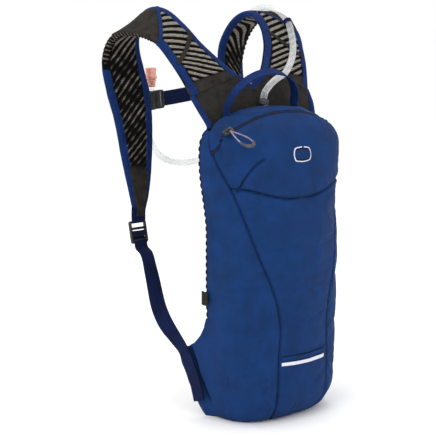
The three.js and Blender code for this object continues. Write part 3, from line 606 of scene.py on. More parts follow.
# %% Tube, port, keeper and clip
HOSE_DIAMETER = 9
HOSE_ROUTE = [
    (4, 46, 406), (7, 47, 413), (16, 49, 421), (30, 53, 428), (46, 58, 433), (60, 63, 437), (74, 69, 447),
    (86, 76, 458), (96, 85, 471), (103, 95, 486), (108, 107, 502), (111, 125, 515), (113, 143, 521),
    (113, 163, 522), (112, 182, 516), (110, 200, 503), (107, 215, 482), (104, 222, 457), (102, 221, 430),
    (101, 216, 404), (99, 211, 378), (94, 209, 352), (84, 210, 333), (68, 211, 320), (48, 211, 312),
    (25, 211, 308), (0, 211, 309), (-22, 208, 314), (-38, 208, 324), (-49, 210, 340), (-53, 214, 358),
    (-52, 218, 376), (-47, 219.5, 394), (-43, 219.5, 406), (-41, 219.5, 413),
]
hose_line = curve_through(HOSE_ROUTE, np.linspace(0, 1, 341))
hose = round_rod("hose_tube", hose_line, HOSE_DIAMETER / 2, sides=20)
finish(hose, CLEAR_TUBE, "pack", "hose", slot="clear_tube")


def collar(name, inner, outer, length, place, direction, ridges=0):
    """A rounded sleeve round a hose, with a few grip ridges round it."""
    deselect()
    middle, wall = (inner + outer) / 2, (outer - inner) / 2
    bpy.ops.mesh.primitive_torus_add(
        major_radius=middle, minor_radius=wall, major_segments=48, minor_segments=24)
    piece = bpy.context.object
    piece.name = name
    turn = Vector((0, 0, 1)).rotation_difference(Vector(direction)).to_matrix()
    for vertex in piece.data.vertices:
        x, y, z = vertex.co
        reach = math.hypot(x, y)
        share = z / wall
        rise = math.copysign(min(1.0, abs(share)) ** 0.5, share)
        swell = 1 + 0.03 * math.cos(ridges * math.pi * rise) * (reach > middle) * bool(ridges)
        flat = middle + math.copysign(wall, reach - middle) * max(0.0, 1 - abs(share) ** 4) ** 0.5
        where = Vector((x, y, 0)) * (flat * swell / reach) + Vector((0, 0, rise * length / 2))
        vertex.co = (Vector(place) + turn @ where) * MM
    smooth(piece, 50)
    return piece


PORT = (4, 45.2, 402.2)
VALVE = (-41, 219.5, 414.6)
finish(collar("tube_port", 4.9, 6.5, 6.5, PORT, (0.1, 0.1, 1), 4), RUBBER, "pack", "hose_port",
       slot="grey_rubber")
finish(collar("tube_keeper", 4.8, 5.9, 7, (108, 107.2, 502.2), (4, 14.5, 14.5)), WEBBING, "pack",
       "keeper_ring", slot="black_acetal")
hose_clip = finish(collar("tube_magnet_clip", 4.8, 6.4, 9, (-45.4, 219.5, 399), (0.33, 0, 1), 3), ACETAL,
                   "pack", "hose_magnet_clip", slot="black_acetal")
print("tube length, mm", round(running_length(hose_line)[-1], 1))

# %% [markdown]
# The bite valve is two silicone mouldings: a ribbed sleeve that grips the tube, and a tip that starts
# round and ends in a flat oval, as lips need. Both are rings of an oval, whose half sizes change along
# the way, so one function makes them.

# %% Bite valve
def oval_rings(stations, place, power=2.2, around=40, between=8):
    """Rings of a squarish oval. stations are (half width, half depth, height) in mm."""
    sizes = curve_through(stations, np.linspace(0, 1, between * (len(stations) - 1) + 1))
    angles = np.linspace(0, 2 * np.pi, around, endpoint=False)
    cosine, sine = np.cos(angles), np.sin(angles)
    x = sizes[:, :1] * np.sign(cosine) * np.abs(cosine) ** (2 / power)
    y = sizes[:, 1:2] * np.sign(sine) * np.abs(sine) ** (2 / power)
    z = np.repeat(sizes[:, 2:], around, axis=1)
    return np.stack([x, y, z], axis=2) + np.asarray(place, float)


SLEEVE = [(5.2, 5.2, 0), (6.3, 6.3, 1), (6.0, 6.0, 2.4), (6.5, 6.5, 3.6), (6.0, 6.0, 5), (6.5, 6.5, 6.2),
          (6.4, 6.4, 7.4), (7.3, 7.3, 8.4), (7.3, 7.3, 9.8), (6.4, 6.4, 10.2)]
valve_sleeve = ring_skin("bite_valve_sleeve", oval_rings(SLEEVE, VALVE, power=2, between=4))
smooth(valve_sleeve, 40)
finish(valve_sleeve, SILICONE, "pack", "bite_valve_body", slot="silicone")
TIP = [(6.6, 6.6, 10.4), (7.6, 7.6, 11.2), (7.9, 7.9, 14), (7.1, 6.4, 18), (8.3, 5.2, 22), (8.7, 4.9, 24.5),
       (7.9, 4.2, 26), (5.5, 2.2, 26.2), (3.0, 0.5, 25.2)]
valve_tip = ring_skin("bite_valve_mouth", oval_rings(TIP, VALVE))
smooth(valve_tip, 60)
finish(valve_tip, SILICONE, "valve_tip", "bite_valve_tip", slot="silicone")


# %% [markdown]
# ## The body's shape
#
# The bag is one D-shaped form, flat against the back and round at the front, drawn in at the foot and
# rounded over at the crown. A place on it is given by u, how far round the section from the left back
# edge (-1) over the front's middle (0) to the right back edge (1), and by z, its height. These are the
# CAD shell's formulas, so the cloth lies where its solids are.

# %% The bag's surface
BODY_HEIGHT = 398
BACK_Y = 38
SECTION_POWER = 2.6
PAST_EDGE = 100  # mm of cloth for each 1 that u goes past the back edge
FOOT_HEIGHT = 50
CROWN_HEIGHT = 50
HALF_WIDTHS = (91, 96, 108)  # at the base, the middle and the shoulders
DEPTHS = (78, 64, 30)  # low, high and at the crown
CROWN_POWER = 2.2
DEPTH_CROWN_HEIGHT = 60
FOOT_SIDE_DRAW = 18
FOOT_FRONT_DRAW = 34


def superellipse(share, power):
    """The height of a superellipse of radius 1 at a share of its half width."""
    return (1 - share**power) ** (1 / power)


def half_width(z):
    """Half the bag's width at a height."""
    z = np.asarray(z, float)
    base, middle, shoulder = HALF_WIDTHS
    full = base + (middle - base) * step(z, 20, 200) + (shoulder - middle) * step(z, 240, 335)
    foot = np.clip((FOOT_HEIGHT - z) / FOOT_HEIGHT, 0, 1)
    crown = np.clip((z - BODY_HEIGHT + CROWN_HEIGHT) / CROWN_HEIGHT, 0, 1)
    return (full - FOOT_SIDE_DRAW * (1 - np.sqrt(1 - foot**2))) * superellipse(crown, CROWN_POWER)


def depth(z):
    """How far the bag reaches forward of its back at a height."""
    z = np.asarray(z, float)
    low, high, crown_depth = DEPTHS
    foot = np.clip((FOOT_HEIGHT - z) / FOOT_HEIGHT, 0, 1)
    crown = np.clip((z - BODY_HEIGHT + DEPTH_CROWN_HEIGHT) / DEPTH_CROWN_HEIGHT, 0, 1) ** 2
    full = low + (high - low) * step(z, 180, 330) - FOOT_FRONT_DRAW * (1 - np.sqrt(1 - foot**2))
    return full + (crown_depth - full) * crown


def body_point(u, z):
    """A place on the bag. Past u = 1 the cloth runs on straight back, over the foam's edge."""
    angle = np.minimum(np.abs(u), 1) * np.pi / 2
    x = np.sign(u) * half_width(z) * np.sin(angle) ** (2 / SECTION_POWER)
    y = BACK_Y - depth(z) * np.maximum(np.cos(angle), 0) ** (2 / SECTION_POWER)
    return np.stack([x, y + np.maximum(np.abs(u) - 1, 0) * PAST_EDGE, z + 0 * x], axis=-1)


def body_normal(u, z):
    """Outward direction, from points a little way off along u and z."""
    small = 0.004
    inside = np.clip(u, -1 + small, 1 - small)
    level = np.clip(z, 1.5, BODY_HEIGHT - 2.5)
    across = body_point(inside + small, level) - body_point(inside - small, level)
    upward = body_point(inside, level + 1) - body_point(inside, level - 1)
    return unit(np.cross(across, upward))


SIDE_SEAM = np.array([
    (0, 0.255), (80, 0.245), (125, 0.22), (155, 0.25), (182, 0.32), (217, 0.44), (249, 0.535), (303, 0.67),
    (345, 0.88), (368, 0.955), (378, 1.01),
])
SMILE_HEIGHT = 287
SMILE_RISE = 16
ZIP_RADIUS = 180
ZIP_HALF_SPAN = 96
ZIP_END_SLOPE = 2  # past its ends the arch runs on straight
ZIP_APEX = np.array([0, -5, 393])
ZIP_DOWN = np.array([0, 0.433, -0.9014])


def side_seam(z):
    """How far round the section the side seam lies at a height, softened between its stations."""
    spread = np.linspace(-9, 9, 7)
    return np.mean([np.interp(z + offset, *SIDE_SEAM.T) for offset in spread], axis=0)


def smile_seam(u):
    """The height of the pocket's curved lower seam."""
    return SMILE_HEIGHT + SMILE_RISE * step(np.abs(u), 0, 0.6)


def zip_seam(u):
    """The zip's height on the section, found by closing in on the arch from a guess."""
    z = np.full(np.shape(u), 370.0)
    for _ in range(12):
        x = np.abs(body_point(u, z)[..., 0])
        reach = np.minimum(x, ZIP_HALF_SPAN)
        sagitta = ZIP_RADIUS - np.sqrt(ZIP_RADIUS**2 - reach**2)
        arch = ZIP_APEX[2] + ZIP_DOWN[2] * sagitta - ZIP_END_SLOPE * (x - reach)
        z = z + 0.6 * (arch - z)
    return z


print("front middle at half height", body_point(np.array(0.0), np.array(200.0)).tolist())

# %% [markdown]
# ### Letting the cloth settle
#
# Cloth that is sewn down at its seams and filled from inside swells between them, and where the cloth
# is a little longer than its seam it gathers in small puckers. That is what a cloth simulation gives:
# a coarse copy of the bag is pinned along every seam, grows a little, and is blown out gently. Only
# how far each place moved is kept, capped to a few millimetres, and the fine panels take it from there.

# %% Settle a coarse shell
SHELL_COLUMNS = 112
SHELL_ROWS = 116
PUFF_CAP = 4.0
SEWN_WIDTH = 3.2  # how near a seam the coarse shell is pinned
TOP_GAP = 1  # the coarse shell stops this far below the crown's top
fine_u = np.linspace(-1, 1, 801)
girth = running_length(body_point(fine_u, np.full(len(fine_u), 200.0)))
GIRTH = girth[-1]


def u_at(share):
    """The place round the section at a share of its girth, so that a grid over it has even steps."""
    return np.interp(np.asarray(share) * GIRTH, girth, fine_u)


def share_at(u):
    return np.interp(u, fine_u, girth) / GIRTH


def near_seam(u, z):
    """How far each place is from the nearest seam, in mm, roughly."""
    round_mm = share_at(u) * GIRTH
    side = np.minimum(np.abs(round_mm - share_at(side_seam(z)) * GIRTH),
                      np.abs(round_mm - share_at(-side_seam(z)) * GIRTH))
    between = np.abs(u) < side_seam(z)
    smile = np.where(between, np.abs(z - smile_seam(u)), 99)
    closing = np.abs(z - zip_seam(u))
    back_edge = np.minimum(round_mm, GIRTH - round_mm)
    return np.minimum.reduce([side, smile, closing, back_edge, z, BODY_HEIGHT - z])


def settle_shell():
    """Runs the cloth and gives how far each grid point moved, in mm, as rows x columns x 3."""
    def place(s, t):
        return body_point(u_at(s), t * (BODY_HEIGHT - TOP_GAP))

    shell = cloth_grid("settling_shell", SHELL_COLUMNS, SHELL_ROWS, place, (GIRTH, BODY_HEIGHT))
    mesh = shell.data
    start = np.empty(len(mesh.vertices) * 3)
    mesh.vertices.foreach_get("co", start)
    s, t = (uv_at_points(shell) / (np.array([GIRTH, BODY_HEIGHT]) * MM)).T
    held = near_seam(u_at(s), t * (BODY_HEIGHT - TOP_GAP)) < SEWN_WIDTH
    group = shell.vertex_groups.new(name="sewn")
    group.add(np.flatnonzero(held).tolist(), 1.0, "REPLACE")
    cloth = shell.modifiers.new("cloth", "CLOTH").settings
    cloth.quality = 6
    cloth.mass = 0.25
    cloth.bending_stiffness = 0.35
    cloth.tension_stiffness = cloth.compression_stiffness = 25
    cloth.shear_stiffness = 10
    cloth.use_pressure = True
    cloth.uniform_pressure_force = 4
    cloth.shrink_min = cloth.shrink_max = -0.018
    cloth.vertex_group_mass = "sewn"
    cloth.effector_weights.gravity = 0
    for frame_number in range(1, 21):
        bpy.context.scene.frame_set(frame_number)
    settled = shell.evaluated_get(bpy.context.evaluated_depsgraph_get()).to_mesh()
    end = np.empty(len(settled.vertices) * 3)
    settled.vertices.foreach_get("co", end)
    moved = (end - start).reshape(-1, 3) / MM
    order = np.lexsort((np.round(s * SHELL_COLUMNS), np.round(t * SHELL_ROWS)))
    bpy.data.objects.remove(shell)
    bpy.context.scene.frame_set(1)
    moved = moved[order].reshape(SHELL_ROWS + 1, SHELL_COLUMNS + 1, 3)
    size = np.linalg.norm(moved, axis=2, keepdims=True)
    return moved * np.minimum(1, PUFF_CAP / np.maximum(size, 1e-6))


PUFF = settle_shell()


def puff(u, z):
    """The settled cloth's movement at a place, read between the coarse grid's points."""
    column = np.clip(share_at(u), 0, 1) * SHELL_COLUMNS
    row = np.clip(z / (BODY_HEIGHT - TOP_GAP), 0, 1) * SHELL_ROWS
    c = np.minimum(column.astype(int), SHELL_COLUMNS - 1)
    r = np.minimum(row.astype(int), SHELL_ROWS - 1)
    a, b = (column - c)[..., None], (row - r)[..., None]
    return ((PUFF[r, c] * (1 - a) + PUFF[r, c + 1] * a) * (1 - b)
            + (PUFF[r + 1, c] * (1 - a) + PUFF[r + 1, c + 1] * a) * b)


print("largest puff, mm", round(float(np.linalg.norm(PUFF, axis=2).max()), 2))

# %% [markdown]
# ### The sewn panels
#
# Five panels make the bag: the front bib, the pocket above it, the crown between zip and back, and a
# side panel each side. A panel's cut edges are turned in and sewn, so its surface rolls inwards over
# the last few millimetres, which draws the seam as a fine dark valley. Just inside the seam the cloth
# gathers, and over the whole panel it waves a little. All of that is real shape and not bump; on top of
# it, painted shade darkens the cloth along the seams and the pleat.

# %% Panel builder
ROLL = 2.0  # how deep a sewn edge turns in
ROLL_WIDTH = 1.9
GATHER = 0.45
GATHER_PITCH = 12.5
SEAM_SHADE = 1.7
PANEL_CUT = np.array([GIRTH * 0.4, 300])
PANEL_THICKNESS = 1.1


def waves(points, size):
    """A slow smooth waviness from -1 to 1, the same each run."""
    x, y, z = (points / size).T
    return (np.sin(1.7 * x + 0.9 * z + 0.6) * np.sin(0.8 * y - 1.3 * z + 1.1)
            + 0.6 * np.sin(2.9 * z + 1.4 * x - 0.7 * y) + 0.4 * np.sin(4.1 * x - 2.3 * z + 2.0)) / 2


def nearest(points, line):
    """The distance from each point to a line of points, and how far along the line that is."""
    along = running_length(line)
    distance = np.full(len(points), 1e9)
    place = np.zeros(len(points))
    for corner, reach in zip(line, along, strict=True):
        gap = np.linalg.norm(points - corner, axis=1)
        closer = gap < distance
        distance[closer] = gap[closer]
        place[closer] = reach
    return distance, place


def seam_line(us, zs):
    return body_point(np.asarray(us, float), np.asarray(zs, float))


def fold_line(stations):
    """A fine line of points through a few (u, z) places on the bag."""
    knots = np.linspace(0, 1, len(stations))
    fine = np.linspace(0, 1, 90)
    u, z = (np.interp(fine, knots, part) for part in np.array(stations, float).T)
    return seam_line(u, z)


def crease(points, line, depth_mm, width):
    """A sharp fold along a line, deepest in the middle of its length, steeper on its lower side."""
    distance, place = nearest(points, line)
    fade = np.sin(np.clip(place / running_length(line)[-1], 0, 1) * np.pi * 0.62) ** 0.8
    return depth_mm * fade * np.exp(-((distance / width) ** 2))


# The pleat that lifts the pocket panel, and small drag folds near the foot, as (u, z) on the bag.
PLEAT = fold_line([(-0.60, 300), (-0.51, 314.5), (-0.435, 325), (-0.37, 333), (-0.30, 338.5)])
DRAG_FOLDS = [
    fold_line([(-0.30, 16), (-0.285, 25), (-0.265, 34), (-0.25, 41)]),
    fold_line([(-0.33, 10), (-0.32, 18), (-0.305, 27)]),
    fold_line([(-0.42, 30), (-0.40, 44), (-0.37, 60)]),
    fold_line([(-0.66, 52), (-0.61, 72), (-0.55, 100)]),
    fold_line([(0.30, 14), (0.285, 24), (0.265, 36)]),
    fold_line([(0.50, 40), (0.46, 58), (0.42, 80)]),
]
PINCHES = [
    fold_line([(-0.70, 318), (-0.66, 330), (-0.60, 345)]),
    fold_line([(-0.76, 250), (-0.70, 262), (-0.66, 275)]),
    fold_line([(-0.57, 225), (-0.50, 232), (-0.45, 242)]),
    fold_line([(-0.05, 262), (-0.12, 240), (-0.16, 215)]),
    fold_line([(0.12, 250), (0.05, 225), (0.0, 205)]),
    fold_line([(0.70, 310), (0.64, 324), (0.60, 340)]),
]


def sewn_panel(name, where, columns, rows, seams, lift=0.0):
    """A panel of the bag. where(s, t) gives u and z, and seams are the lines that it is sewn along."""
    def place(s, t):
        u, z = where(s, t)
        points = body_point(u, z)
        out = body_normal(u, z)
        rise = lift + 0.55 * waves(points, 26) * step(near_seam(u, z), 0, 30)
        for line in seams:
            distance, along = nearest(points, line)
            rise = rise - ROLL * np.exp(-((distance / ROLL_WIDTH) ** 2))
            uneven = np.sin(along / 31) + 0.6 * np.sin(along / 17 + 1)
            puckers = (0.6 + 0.4 * uneven) * np.sin(2 * np.pi * along / GATHER_PITCH + 2 * uneven)
            rise = rise + GATHER * puckers * np.exp(-distance / 9) * step(distance, 0.5, 4)
        rise = rise - crease(points, PLEAT, 2.6, 1.9) + crease(points, PLEAT + [1.5, -1, -4.5], 1.6, 5)
        for fold in DRAG_FOLDS:
            rise = rise - crease(points, fold, 1.3, 2.2) + crease(points, fold + [4, 0, 1], 0.9, 3)
        for fold in PINCHES:
            rise = rise - crease(points, fold, 0.9, 4)
        return points + puff(u, z) + out * rise[:, None]

    piece = cloth_grid(name, columns, rows, place, PANEL_CUT)
    points = points_of(piece)
    # Painted shade along each seam, together with its thread, and along the pleat: the sewn attribute darkens
    # the cloth there.
    sewn = np.zeros(len(points))
    for line in [*seams, PLEAT]:
        sewn = np.maximum(sewn, np.exp(-((nearest(points, line)[0] / SEAM_SHADE) ** 2)))
    write_attribute(piece, "sewn", sewn)
    # The weave follows the place on the bag, so that it runs on from panel to panel.
    u, z = where(*(read_uv(piece) / (PANEL_CUT * MM)).T)
    write_uv(piece, np.stack([share_at(u) * GIRTH, z], axis=1) * MM)
    thicken(piece, PANEL_THICKNESS)
    finish(piece, PACK_CLOTH, "pack", name, slot="body_fabric")
    piece.name = f"{name}_cloth"


print("pleat length, mm", round(running_length(PLEAT)[-1], 1))

# %% Cut and sew the panels
FOOT = 0.6  # the panels turn under almost to the floor
SEAM = 0.0016  # half a seam's gap, in terms of u
SMILE_GAP = 0.2
ZIP_GAP = 0.9
SIDE_TOP = 372
CROWN_CROWDING = 2.6
OVER_FOAM = 0.062  # how far the side panels wrap over the foam's edge, in terms of u


def between_side_seams(s, t, low, high):
    """u and z at the shares of a panel that lies between both side seams, from low(u) to high(u)."""
    u = np.zeros(np.shape(s))
    z = np.full(np.shape(s), 340.0)
    for _ in range(14):
        bottom, top = low(u), high(u)
        z = z + 0.7 * (bottom + (top - bottom) * t - z)
        u = (2 * s - 1) * np.minimum(side_seam(z) - SEAM, 1)
    return u, z


def front_place(s, t):
    return between_side_seams(s, t, lambda u: FOOT + 0 * u, lambda u: smile_seam(u) - SMILE_GAP)


def pocket_place(s, t):
    return between_side_seams(s, t, lambda u: smile_seam(u) + SMILE_GAP, lambda u: zip_seam(u) - ZIP_GAP)


def crown_place(s, t):
    """Rows crowd towards the top, where the crown turns level and closes."""
    share = 1 - (1 - t) ** CROWN_CROWDING
    top = BODY_HEIGHT - 0.001
    return between_side_seams(s, share, lambda u: zip_seam(u) + ZIP_GAP, lambda u: top + 0 * u)


def side_place(sign):
    def where(s, t):
        z = FOOT + (SIDE_TOP - FOOT) * t
        start = np.minimum(side_seam(z) + SEAM, 0.995)
        share = s if sign > 0 else 1 - s
        return sign * (start + (1 + OVER_FOAM - start) * share), z
    return where


z_up = np.linspace(1, 368, 140)
u_round = np.linspace(-1, 1, 160)
right_side = seam_line(side_seam(z_up), z_up)
left_side = seam_line(-side_seam(z_up), z_up)
smile_u = np.linspace(-0.7, 0.7, 110)
smile = seam_line(smile_u, smile_seam(smile_u))
arch = seam_line(u_round, zip_seam(u_round))
right_edge = seam_line(0 * z_up + 1 + OVER_FOAM, z_up)
left_edge = seam_line(0 * z_up - 1 - OVER_FOAM, z_up)

sewn_panel("front_panel", front_place, 90, 190, [right_side, left_side, smile])
sewn_panel("pocket_panel", pocket_place, 150, 76, [right_side, left_side, smile, arch], lift=0.5)
sewn_panel("top_panel", crown_place, 130, 64, [arch], lift=0.3)
for side, sign, seam, edge in (("right", 1, right_side, right_edge), ("left", -1, left_side, left_edge)):
    sewn_panel(f"side_panel_{side}", side_place(sign), 70, 200, [seam, edge])

# %% [markdown]
# ### Base and back
#
# The base is a flat panel with a rounded rim, so a flat D is extruded and its rim bevelled. The back is
# foam with slits across it, which leaves a row of soft bars: their ends show as teeth along the back
# edge. One grid is folded round the slab, and its bars are raised by a formula of the height.

# %% Base panel
BASE_THICKNESS = 3.4
BASE_RIM = 1.2
FRONT_POINTS = 73
BACK_POINTS = 23


def base_pad():
    """A flat D, with its points round the front first and then along the straight back."""
    deselect()
    bpy.ops.mesh.primitive_circle_add(vertices=FRONT_POINTS + BACK_POINTS, radius=1, fill_type="NGON")
    piece = bpy.context.object
    share = np.linspace(0, 1, FRONT_POINTS)
    rim = body_point(u_at(share), np.zeros(FRONT_POINTS))[:, :2]
    across = np.linspace(rim[-1, 0], rim[0, 0], BACK_POINTS + 2)[1:-1]
    back_rim = np.stack([across, np.full(BACK_POINTS, BACK_Y)], axis=1)
    outline = np.vstack([rim, back_rim])
    for vertex, (x, y) in zip(piece.data.vertices, outline, strict=True):
        vertex.co = (x * MM, y * MM, 0)
    upwards = {"TRANSFORM_OT_translate": {"value": (0, 0, BASE_THICKNESS * MM)}}
    edit(piece, (bpy.ops.mesh.extrude_region_move, upwards),
         (bpy.ops.mesh.normals_make_consistent, {"inside": False}))
    modify(piece, "BEVEL", width=BASE_RIM * MM, segments=3, limit_method="ANGLE")
    layer = piece.data.uv_layers.active or piece.data.uv_layers.new()
    layer.name = "cloth"
    for loop in piece.data.loops:
        layer.data[loop.index].uv = piece.data.vertices[loop.vertex_index].co[:2]
    smooth(piece, 40)
    piece.name = "base_pad"
    return piece


finish(base_pad(), PACK_CLOTH, "pack", "base_panel", slot="body_fabric")


# %% Slit foam back and its mesh face
FOAM_TOP = 375
BAR_PITCH = 9.2
FOAM_FRONT = BACK_Y + 0.4
FOAM_THICKNESS = 7.6
BAR_RISE = 2.4


def bar_height(along):
    """The section of one bar after another: 0 in a slit and 1 on a bar's crown."""
    return step(np.cos(2 * np.pi * along / BAR_PITCH), -0.75, 0.35)


def slit_foam_back():
    """Rings round the slab, one every millimetre of its height."""
    z = np.arange(0.3, FOAM_TOP, 0.9)
    half = half_width(np.clip(z, 0, BODY_HEIGHT - 8))
    bar = bar_height(z)
    grid = np.linspace(-1, 1, 60)
    rings, ribs = [], []
    for level, wide, rise in zip(z, half, bar, strict=True):
        edge = wide - 1.9 + 1.3 * rise - 4 * (1 - float(step(level, 105, 128)))
        outline = [(-edge + 1, FOAM_FRONT), (edge - 1, FOAM_FRONT)]
        outline += [(edge, FOAM_FRONT + d) for d in (1, 2.5, 4)]
        back_y = FOAM_FRONT + FOAM_THICKNESS + BAR_RISE * rise
        for share in grid[::-1]:
            round_off = max(0.0, (abs(share) - 0.93) / 0.07) ** 2
            outline.append((share * edge, back_y - 3.2 * round_off * (0.3 + 0.7 * rise)))
        outline += [(-edge, FOAM_FRONT + d) for d in (4, 2.5, 1)]
        rings.append([(x, y, level) for x, y in outline])
        ribs += [0.15 + 0.35 * rise] * len(outline)
    piece = ring_skin("slit_foam_back", np.array(rings))
    # The rib attribute becomes painted light in the foam material: a painted highlight on the bars and
    # painted shade in the slits.
    write_attribute(piece, "rib", ribs)
    write_attribute(piece, "patch", np.zeros(len(ribs)))
    smooth(piece, 50)
    return piece


def back_face_mesh():
    """The open mesh over the foam, which shows a little of each bar through it."""
    def place(s, t):
        z = 8 + (FOAM_TOP - 16) * t
        x = (2 * s - 1) * (half_width(z) - 12)
        ripple = 0.35 * bar_height(z) + 0.2 * waves(np.stack([x, 0 * x, z], axis=1), 18)
        y = FOAM_FRONT + FOAM_THICKNESS + BAR_RISE + 0.4 + ripple
        return np.stack([-x, y, z], axis=1)

    piece = cloth_grid("spacer_mesh_face", 60, 330, place, (190, 360))
    z = points_of(piece)[:, 2]
    # The rib attribute becomes painted light in the foam material: a painted highlight on the bars and
    # painted shade in the slits.
    write_attribute(piece, "rib", 0.3 + 0.4 * bar_height(z))
    write_attribute(piece, "patch", 0 * z)
    thicken(piece, 0.7)
    return piece


finish(slit_foam_back(), FOAM, "pack", "back_foam", slot="mesh_foam")
finish(back_face_mesh(), FOAM, "pack", "back_mesh", slot="mesh_foam")
print("back bars", int(FOAM_TOP / BAR_PITCH))

# %% [markdown]
# ## The harness
#
# Each shoulder strap is a foam pad with slanting slits, under mesh, between an inner and an outer edge
# curve. Rings of points run round the pad, and each point knows how far along (s) and across (w) it
# lies. The bars slant, so the height follows s less a share of w. Patches of knit are sewn over the
# pad at the shoulder and at its lower end. The soft straps don't lie quite alike, as in the CAD.

# %% Strap curves and pads
STRAP_INNER = [
    (21, 70, 435), (38, 82, 452), (57, 99, 475), (69, 119, 497), (76, 145, 512), (80, 170, 512),
    (79, 191, 499), (74, 206, 470), (69, 202, 440), (68, 192, 411), (71, 183, 374), (77, 177, 320),
    (86, 172, 280), (97, 169, 250),
]
STRAP_OUTER = [
    (97, 68, 412), (107, 82, 441), (113, 94, 461), (119, 108, 485), (123, 128, 504), (125, 150, 512),
    (126, 176, 508), (126, 200, 490), (124, 216, 455), (121, 211, 413), (118, 198, 374), (116, 186, 325),
    (113, 176, 285), (109, 169, 250),
]
RIGHT_SPREAD = [8, 9, 10, 9, 5, 2, 0, 0, 0, 0, 0, 0, 0, 0]
LEFT_DROOP = [0, 0, 2, 9, 19, 24, 20, 12, 4, 0, 0, 0, 0, 0]
LEFT_LIFT = [0, 0, 0, 2, 5, 7, 6, 3, 0, 0, 0, 0, 0, 0]
PAD_HALF = 4.5
PAD_EDGE_HALF = 2.5
PAD_COLUMNS = 34
SLIT_PITCH = 10.6
EDGE_SLIT_PITCH = 6.4
# Where the zones of a strap begin or end along it, each as the two ends of a soft change.
ROOT_PATCH_END = (0.03, 0.042)
CREST_START = (0.24, 0.29)
CREST_END = (0.6, 0.66)
SHOULDER_PATCH_END = (0.50, 0.512)
CHEST_START = (0.5, 0.62)
FOOT_PATCH_START = (0.855, 0.875)
CROSSING = (0.345, 0.225)  # where the blue tape crosses the shoulder, at the inner and the outer edge
STRAPS = {  # each strap's inner and outer edge, the left one before it is mirrored
    "right": (np.array(STRAP_INNER, float), STRAP_OUTER + np.outer(RIGHT_SPREAD, (1.0, 0, 0))),
    "left": (STRAP_INNER + np.outer(LEFT_LIFT, (0, 0, 1.0)), STRAP_OUTER - np.outer(LEFT_DROOP, (0, 0, 1.0))),
}
SIGN = {"right": np.array([1, 1, 1]), "left": np.array([-1, 1, 1])}


class Strap:
    """A strap's surface: at(t, share, lift) is a point at a share of the width, lifted off its middle."""

    def __init__(self, side):
        self.inner, self.outer = STRAPS[side]
        self.sign = SIGN[side]

    def at(self, t, share, lift):
        t, share, lift = np.broadcast_arrays(*(np.asarray(x, float) for x in (t, share, lift)))
        a, b, normal = self.frame(t.ravel())
        place = a + (b - a) * share.ravel()[:, None] + normal * lift.ravel()[:, None]
        return (place * self.sign).reshape(*t.shape, 3)

    def frame(self, t):
        a, b = curve_through(self.inner, t), curve_through(self.outer, t)
        small = 0.002
        low, high = np.clip(t - small, 0, 1), np.clip(t + small, 0, 1)
        forward = sum(
            unit(curve_through(edge, high) - curve_through(edge, low)) for edge in (self.inner, self.outer))
        return a, b, unit(np.cross(b - a, forward))

    def width(self, t):
        return np.linalg.norm(curve_through(self.outer, t) - curve_through(self.inner, t), axis=1)


def half_thickness(share):
    """Half the pad's thickness: full in the middle, and thin at the edges, where it is bound."""
    return PAD_EDGE_HALF + (PAD_HALF - PAD_EDGE_HALF) * step(0.5 - np.abs(share - 0.5), 0.0, 0.2)


def strap_pad(side):
    """The foam pad, with its slanting bars, its knit patches and its thin edges."""
    strap = Strap(side)
    rows = np.linspace(0, 1, 400)
    middle = (curve_through(strap.inner, rows) + curve_through(strap.outer, rows)) / 2
    length = running_length(middle)
    width = strap.width(rows)
    face = np.linspace(0, 1, PAD_COLUMNS)
    share = np.concatenate([face, [1.02, 1.03, 1.02], face[::-1], [-0.02, -0.03, -0.02]])
    upper = np.concatenate([0 * face + 1, [0.6, 0, -0.6], 0 * face - 1, [-0.6, 0, 0.6]])
    t, across = np.meshgrid(rows, share, indexing="ij")
    slant = 0.62 + 0.6 * step(t, 0.45, 0.6)
    s, w = length[:, None] + 0 * across, width[:, None] * across
    bar = step(np.cos(2 * np.pi * (s - slant * w) / SLIT_PITCH), -0.55, 0.25)
    # Over the crest the outer edge is unbound, and there the bars run straight through the foam's edge.
    crest = step(t, *CREST_START) * (1 - step(t, *CREST_END))
    edge = step(across, 0.82, 0.97)
    straight = step(np.cos(2 * np.pi * s / EDGE_SLIT_PITCH), -0.5, 0.4)
    inside = step(across, 0.08, 0.17) * (1 - step(across, 0.83, 0.92))
    crossing = CROSSING[0] + (CROSSING[1] - CROSSING[0]) * across
    outside = upper[None, :] > 0
    shoulder = outside * step(t, crossing - 0.004, crossing + 0.004) * (1 - step(t, *SHOULDER_PATCH_END))
    foot = step(t, *FOOT_PATCH_START)
    root = 1 - step(t, *ROOT_PATCH_END)
    patch = np.clip(shoulder + foot + root, 0, 1)
    patch = np.where(outside, patch, np.clip(foot + root, 0, 1))
    # Down the chest the bars are thinner and worn, and show only in places.
    chest = step(t, *CHEST_START)
    broken = 0.5 + 0.5 * np.sin(2.1 * s / SLIT_PITCH + 5 * across) * np.sin(9 * across + 0.05 * s)
    rib = bar * inside * (1 - patch) * (1 - chest * (0.12 + 0.3 * broken))
    rib = np.where((crest * edge) > 0.5, straight * crest * 0.75 * (upper[None, :] < 0.9), rib)
    height = half_thickness(np.clip(across, 0, 1)) + 1.6 * crest * edge
    relief = np.where(patch > 0.5, 0.35, 1.9 * (rib - 0.65) * np.maximum(inside, crest * edge))
    swell = 0.25 * np.sin(length / 19)[:, None] * inside
    lift = upper[None, :] * (height + relief + swell)
    piece = ring_skin(f"shoulder_strap_{side}", strap.at(t, across, lift))
    # The rib attribute becomes painted light in the foam material: a painted highlight on the bars and
    # painted shade in the slits.
    write_attribute(piece, "rib", rib.ravel())
    write_attribute(piece, "patch", patch.ravel())
    smooth(piece, 60)
    return piece


for side in ("right", "left"):
    finish(strap_pad(side), FOAM, "pack", f"shoulder_pad_{side}", slot="mesh_foam")
print("strap length, mm", round(running_length(curve_through(STRAP_INNER, np.linspace(0, 1, 200)))[-1]))

